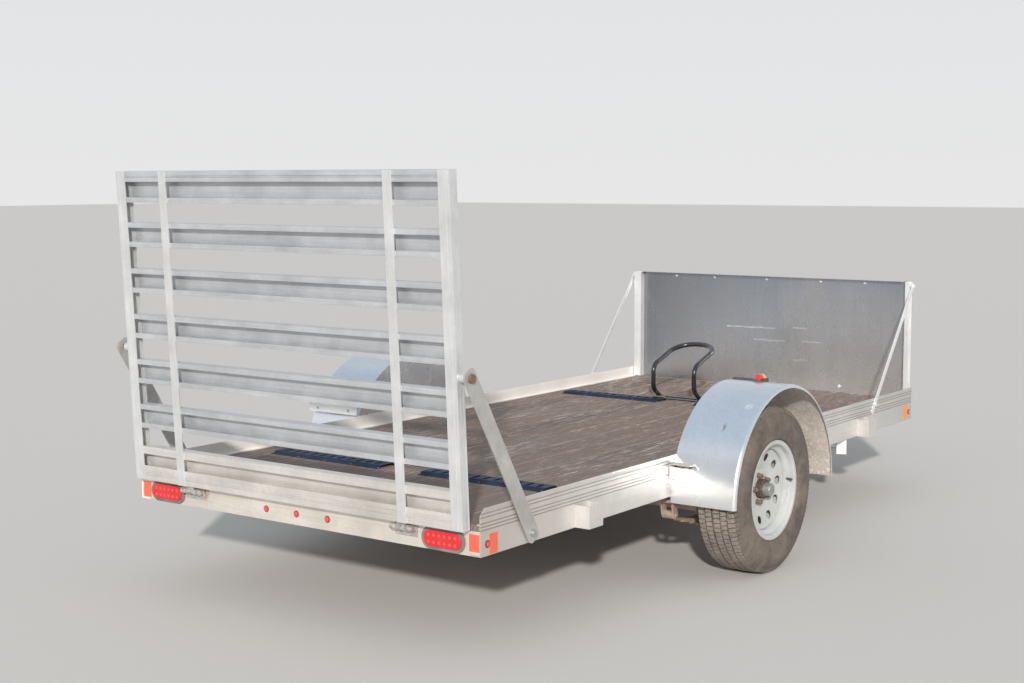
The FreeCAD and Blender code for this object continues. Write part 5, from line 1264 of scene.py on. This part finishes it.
# Fender lamps: a black moulded base, screwed to the top of each fender, under a low moulded
# dome that is red behind and amber ahead.
FENDER_LAMP = Vector((0.98, rear_y + 1.773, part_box("fender_lamps")[1].z))
FENDER_LAMP_HALF = (0.02, 0.0375)
strip_paint = two_tone(
    "strip_paint", 0.0, 50, "Blotches", (0.035, 0.033, 0.033), (0.13, 0.12, 0.11), 0.7
)


def lamp_dome(y_from, y_to, outer):
    """Half of the dome: a bar with its top drawn in and its outer end, 1 or -1, rounded down."""
    half = FENDER_LAMP_HALF[0] - 0.002
    x, top = FENDER_LAMP.x, FENDER_LAMP.z
    piece = bar("dome", (x - half, y_from, top - 0.021), (x + half, y_to, top))
    pick_faces(piece, lambda centre, normal: normal.z > 0.9)
    bpy.ops.transform.resize(value=(0.55, 1, 1), center_override=(x, 0, 0))
    mode("OBJECT")
    far = y_to if outer > 0 else y_from
    end_step = (0, -0.011 * outer, 0)
    shift(piece, lambda co: abs(co.y - far) < 0.001 and co.z > top - 0.001, end_step)
    round_edges(piece, 0.0075, 4)
    return piece


for side, away in (("left", -1), ("right", 1)):
    base = worked_copy("fender_lamps", 0.0)
    pick(base, lambda co: co.x * away < 0)
    bpy.ops.mesh.delete(type="VERT")
    mode("OBJECT")
    shift(base, lambda co: co.z > FENDER_LAMP.z - 0.015, (0, 0, -0.0205))
    round_edges(base, 0.001)
    rear_end, front_end = FENDER_LAMP.y - FENDER_LAMP_HALF[1], FENDER_LAMP.y + FENDER_LAMP_HALF[1]
    red = lamp_dome(rear_end + 0.002, FENDER_LAMP.y + 0.008, -1)
    amber = lamp_dome(FENDER_LAMP.y + 0.0085, front_end - 0.002, 1)
    nodes = () if side == "left" else ("fender_lamps",)
    fit(base, "root", "black_steel", strip_paint, *nodes).name = "fender_lamp_base_" + side
    fit(sided(red, side), "root", "lamp_red", lamp_red).name = "fender_lamp_red_" + side
    fit(sided(amber, side), "root", "lamp_amber", lamp_amber).name = "fender_lamp_amber_" + side

# Plate: a bare white sheet-metal plate behind the left fender, on a small bent angle with two
# bolts. It has rounded corners and a raised edge.
PLATE_CORNER = 0.012
PLATE_EDGE = 0.005
# The plate's white paint is given a near-full white as painted sunlight.
plate_white = two_tone(
    "plate_white", 0.0, 30, "Blotches", (0.97, 0.98, 1.0), (0.86, 0.88, 0.9), 0.4,
    ("Specks", 1.0, (0.4, 0.38, 0.35)),
)
plate_low, plate_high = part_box("blank_plate")
plate = bar("plate", plate_low, plate_high)
mode("EDIT")
bpy.ops.mesh.select_mode(type="EDGE")
bpy.ops.mesh.select_all(action="DESELECT")
mode("OBJECT")
for edge in plate.data.edges:
    ends = [plate.data.vertices[index].co for index in edge.vertices]
    edge.select = abs(ends[0].y - ends[1].y) > 0.001
mode("EDIT")
bpy.ops.mesh.bevel(offset=PLATE_CORNER, segments=5)
mode("OBJECT")
pick_faces(plate, lambda centre, normal: normal.y < -0.9)
bpy.ops.mesh.inset(thickness=PLATE_EDGE)
bpy.ops.mesh.inset(thickness=0.0025)
bpy.ops.transform.translate(value=(0, 0.0011, 0))
mode("OBJECT")
round_edges(plate, 0.0004, 1, 50)
fit(plate, "root", "plate_white", plate_white, "blank_plate")
plate_bolts = []
for x in (plate_low.x + 0.055, plate_high.x - 0.055):
    plate_bolts.append(stand((x, plate_low.y + 0.0009, plate_low.z + 0.019), math.pi / 2))
bolts = copies_at("plate_bolts", screw_head("bolt", 0.0062, 0.0024), plate_bolts)
fit(bolts, "root", "zinc_steel", zinc_plate)
dress("plate_bracket", cross_metal)

# Tailgate: a ladder of lipped aluminium channels between two upright channels, with two flat straps
# welded down its back. It swings on two small forged steel hinges, gone rusty at their pins.
# Painted shade: the rungs and top rail get a darker, bluer copy of the gate's metal than the posts and
# straps.
gate_metal_painted_shade = aluminium("gate_metal_painted_shade", ALONG_X, (0.45, 0.465, 0.485), (0.74, 0.76, 0.785), 0.3)
gate_post_metal = aluminium(
    "gate_post_metal", ALONG_Z, (0.62, 0.63, 0.635), (0.88, 0.89, 0.895), 0.25
)
foot_metal = aluminium("foot_metal", ALONG_X, (0.6, 0.57, 0.53), (0.9, 0.875, 0.84), 0.45)
GATE_LEAN = math.radians(3.045)
GATE_FOOT = (0, rear_y - 0.053, 0.441)
POST_INNER = 0.771
POST_OUTER = 0.821
TOP_GROOVES = (1.1835, 1.189)
FOOT_GROOVES = (0.021, 0.029, 0.037)
SIDE_GROOVES = (0.01, 0.029)
GATE_GROOVE = 0.0025


def gate_cut(piece, spans):
    """Cuts bars out of a gate piece; their corners are measured on the upright gate."""
    cutter = joined("cuts", [bar("cut", low, high) for low, high in spans])
    cutter.matrix_world = stand(GATE_FOOT, GATE_LEAN)
    settle(cutter)
    carved(piece, cutter)
    smooth(piece)
    return piece


def across_gate(heights):
    """Grooves across the gate's rear face, one over each height."""
    depth = GATE_GROOVE
    return [((-0.77, -depth, low), (0.77, depth, low + GATE_GROOVE)) for low in heights]


def open_post(side, away):
    """A gate post as a channel that faces the rungs, with two grooves down its outer side."""
    cuts = [((POST_INNER - 0.001, 0.004, 0.006), (POST_INNER + 0.0045, 0.034, 1.203))]
    for start in SIDE_GROOVES:
        low = (POST_OUTER - 0.0015, start, 0.0)
        cuts.append((low, (POST_OUTER + 0.001, start + GATE_GROOVE, 1.208)))
    spans = []
    for low, high in cuts:
        ends = sorted((low[0] * away, high[0] * away))
        spans.append(((ends[0], *low[1:]), (ends[1], *high[1:])))
    return gate_cut(worked_copy("gate_post_" + side, BAR_EDGE), spans)


for side, away in (("left", -1), ("right", 1)):
    made = open_post(side, away)
    fit(made, "gate", "mill_aluminium", gate_post_metal, "gate_post_" + side)
dress("gate_straps", gate_post_metal, body="gate")
dress("gate_rungs", gate_metal_painted_shade, body="gate")
top_rail = gate_cut(worked_copy("gate_top_rail", BAR_EDGE), across_gate(TOP_GROOVES))
fit(top_rail, "gate", "mill_aluminium", gate_metal_painted_shade, "gate_top_rail")
foot_rail = gate_cut(worked_copy("gate_foot_rail", BAR_EDGE), across_gate(FOOT_GROOVES))
fit(foot_rail, "gate", "mill_aluminium", foot_metal, "gate_foot_rail")
hinge_steel, tree, shader = fresh_material("hinge_steel", 0.6)
marks = in_group(tree, metal_marks, Stretch=(60, 60, 60))
forged = mixed(marks["Streaks"], (0.24, 0.22, 0.2), (0.9, 0.86, 0.81))
stained = spread(marks["Blotches"], 0.5, 0.9, 0.0, 0.7)
feed(shader["Base Color"], mixed(stained, forged, (0.26, 0.15, 0.09)))
feed(shader["Roughness"], spread(marks["Blotches"], 0.0, 1.0, 0.4, 0.7))
dress("hinge_leaves", hinge_steel, "rusty_steel", "gate", edge=0.0022)
dress("hinge_brackets", hinge_steel, "rusty_steel", edge=0.0022)

# Braces: flat aluminium bars, one on each side. A rusty pin with a flanged nut holds each to the
# gate, and a bright hex bolt on a washer holds its foot to the rail.
brace_metal = aluminium("brace_metal", (60, 18, 18), (0.44, 0.43, 0.41), (0.7, 0.69, 0.67), 0.4)
pin_rust = two_tone(
    "pin_rust", 0.5, 120, "Blotches", (0.3, 0.17, 0.1), (0.62, 0.5, 0.4),
    ("Streaks", 0.45, 0.75), ("Streaks", 1.0, (0.16, 0.085, 0.05)),
)
for side in ("left", "right"):
    dress("brace_" + side, brace_metal, body="brace_" + side)
    dress("brace_pin_" + side, pin_rust, "rusty_steel", "brace_" + side)
dress("brace_bolts", zinc_plate, "zinc_steel")

# Tongue: two square aluminium tubes that meet in a pressed steel coupler, with a screw jack.
# A thin plate closes the rear end of each tube, just inside its mouth.
TUBE_END = (0.828, 0.5333, 0.311)
TUBE_END_TURN = math.radians(24.42)
for node in ("tongue_tube_left", "tongue_tube_right"):
    dress(node, rail_metal)
tube_ends = []
for sign in (1, -1):
    place = (TUBE_END[0] * sign, TUBE_END[1], TUBE_END[2])
    tube_ends.append(stand(place, TUBE_END_TURN * sign, "Z"))
tube_end = bar("tube_end", (-0.0209, -0.0015, -0.0339), (0.0209, 0.0015, 0.0339))
fit(copies_at("tube_ends", tube_end, tube_ends), "root", "mill_aluminium", post_metal)
dress("tongue_bar", cross_metal)
for node in ("coupler", "jack_tube", "jack_head", "jack_crank"):
    dress(node, zinc_plate, "zinc_steel")
dress("coupler_latch", black_paint, "black_steel")
dress("jack_leg", zinc_plate, "zinc_steel", "jack_leg")
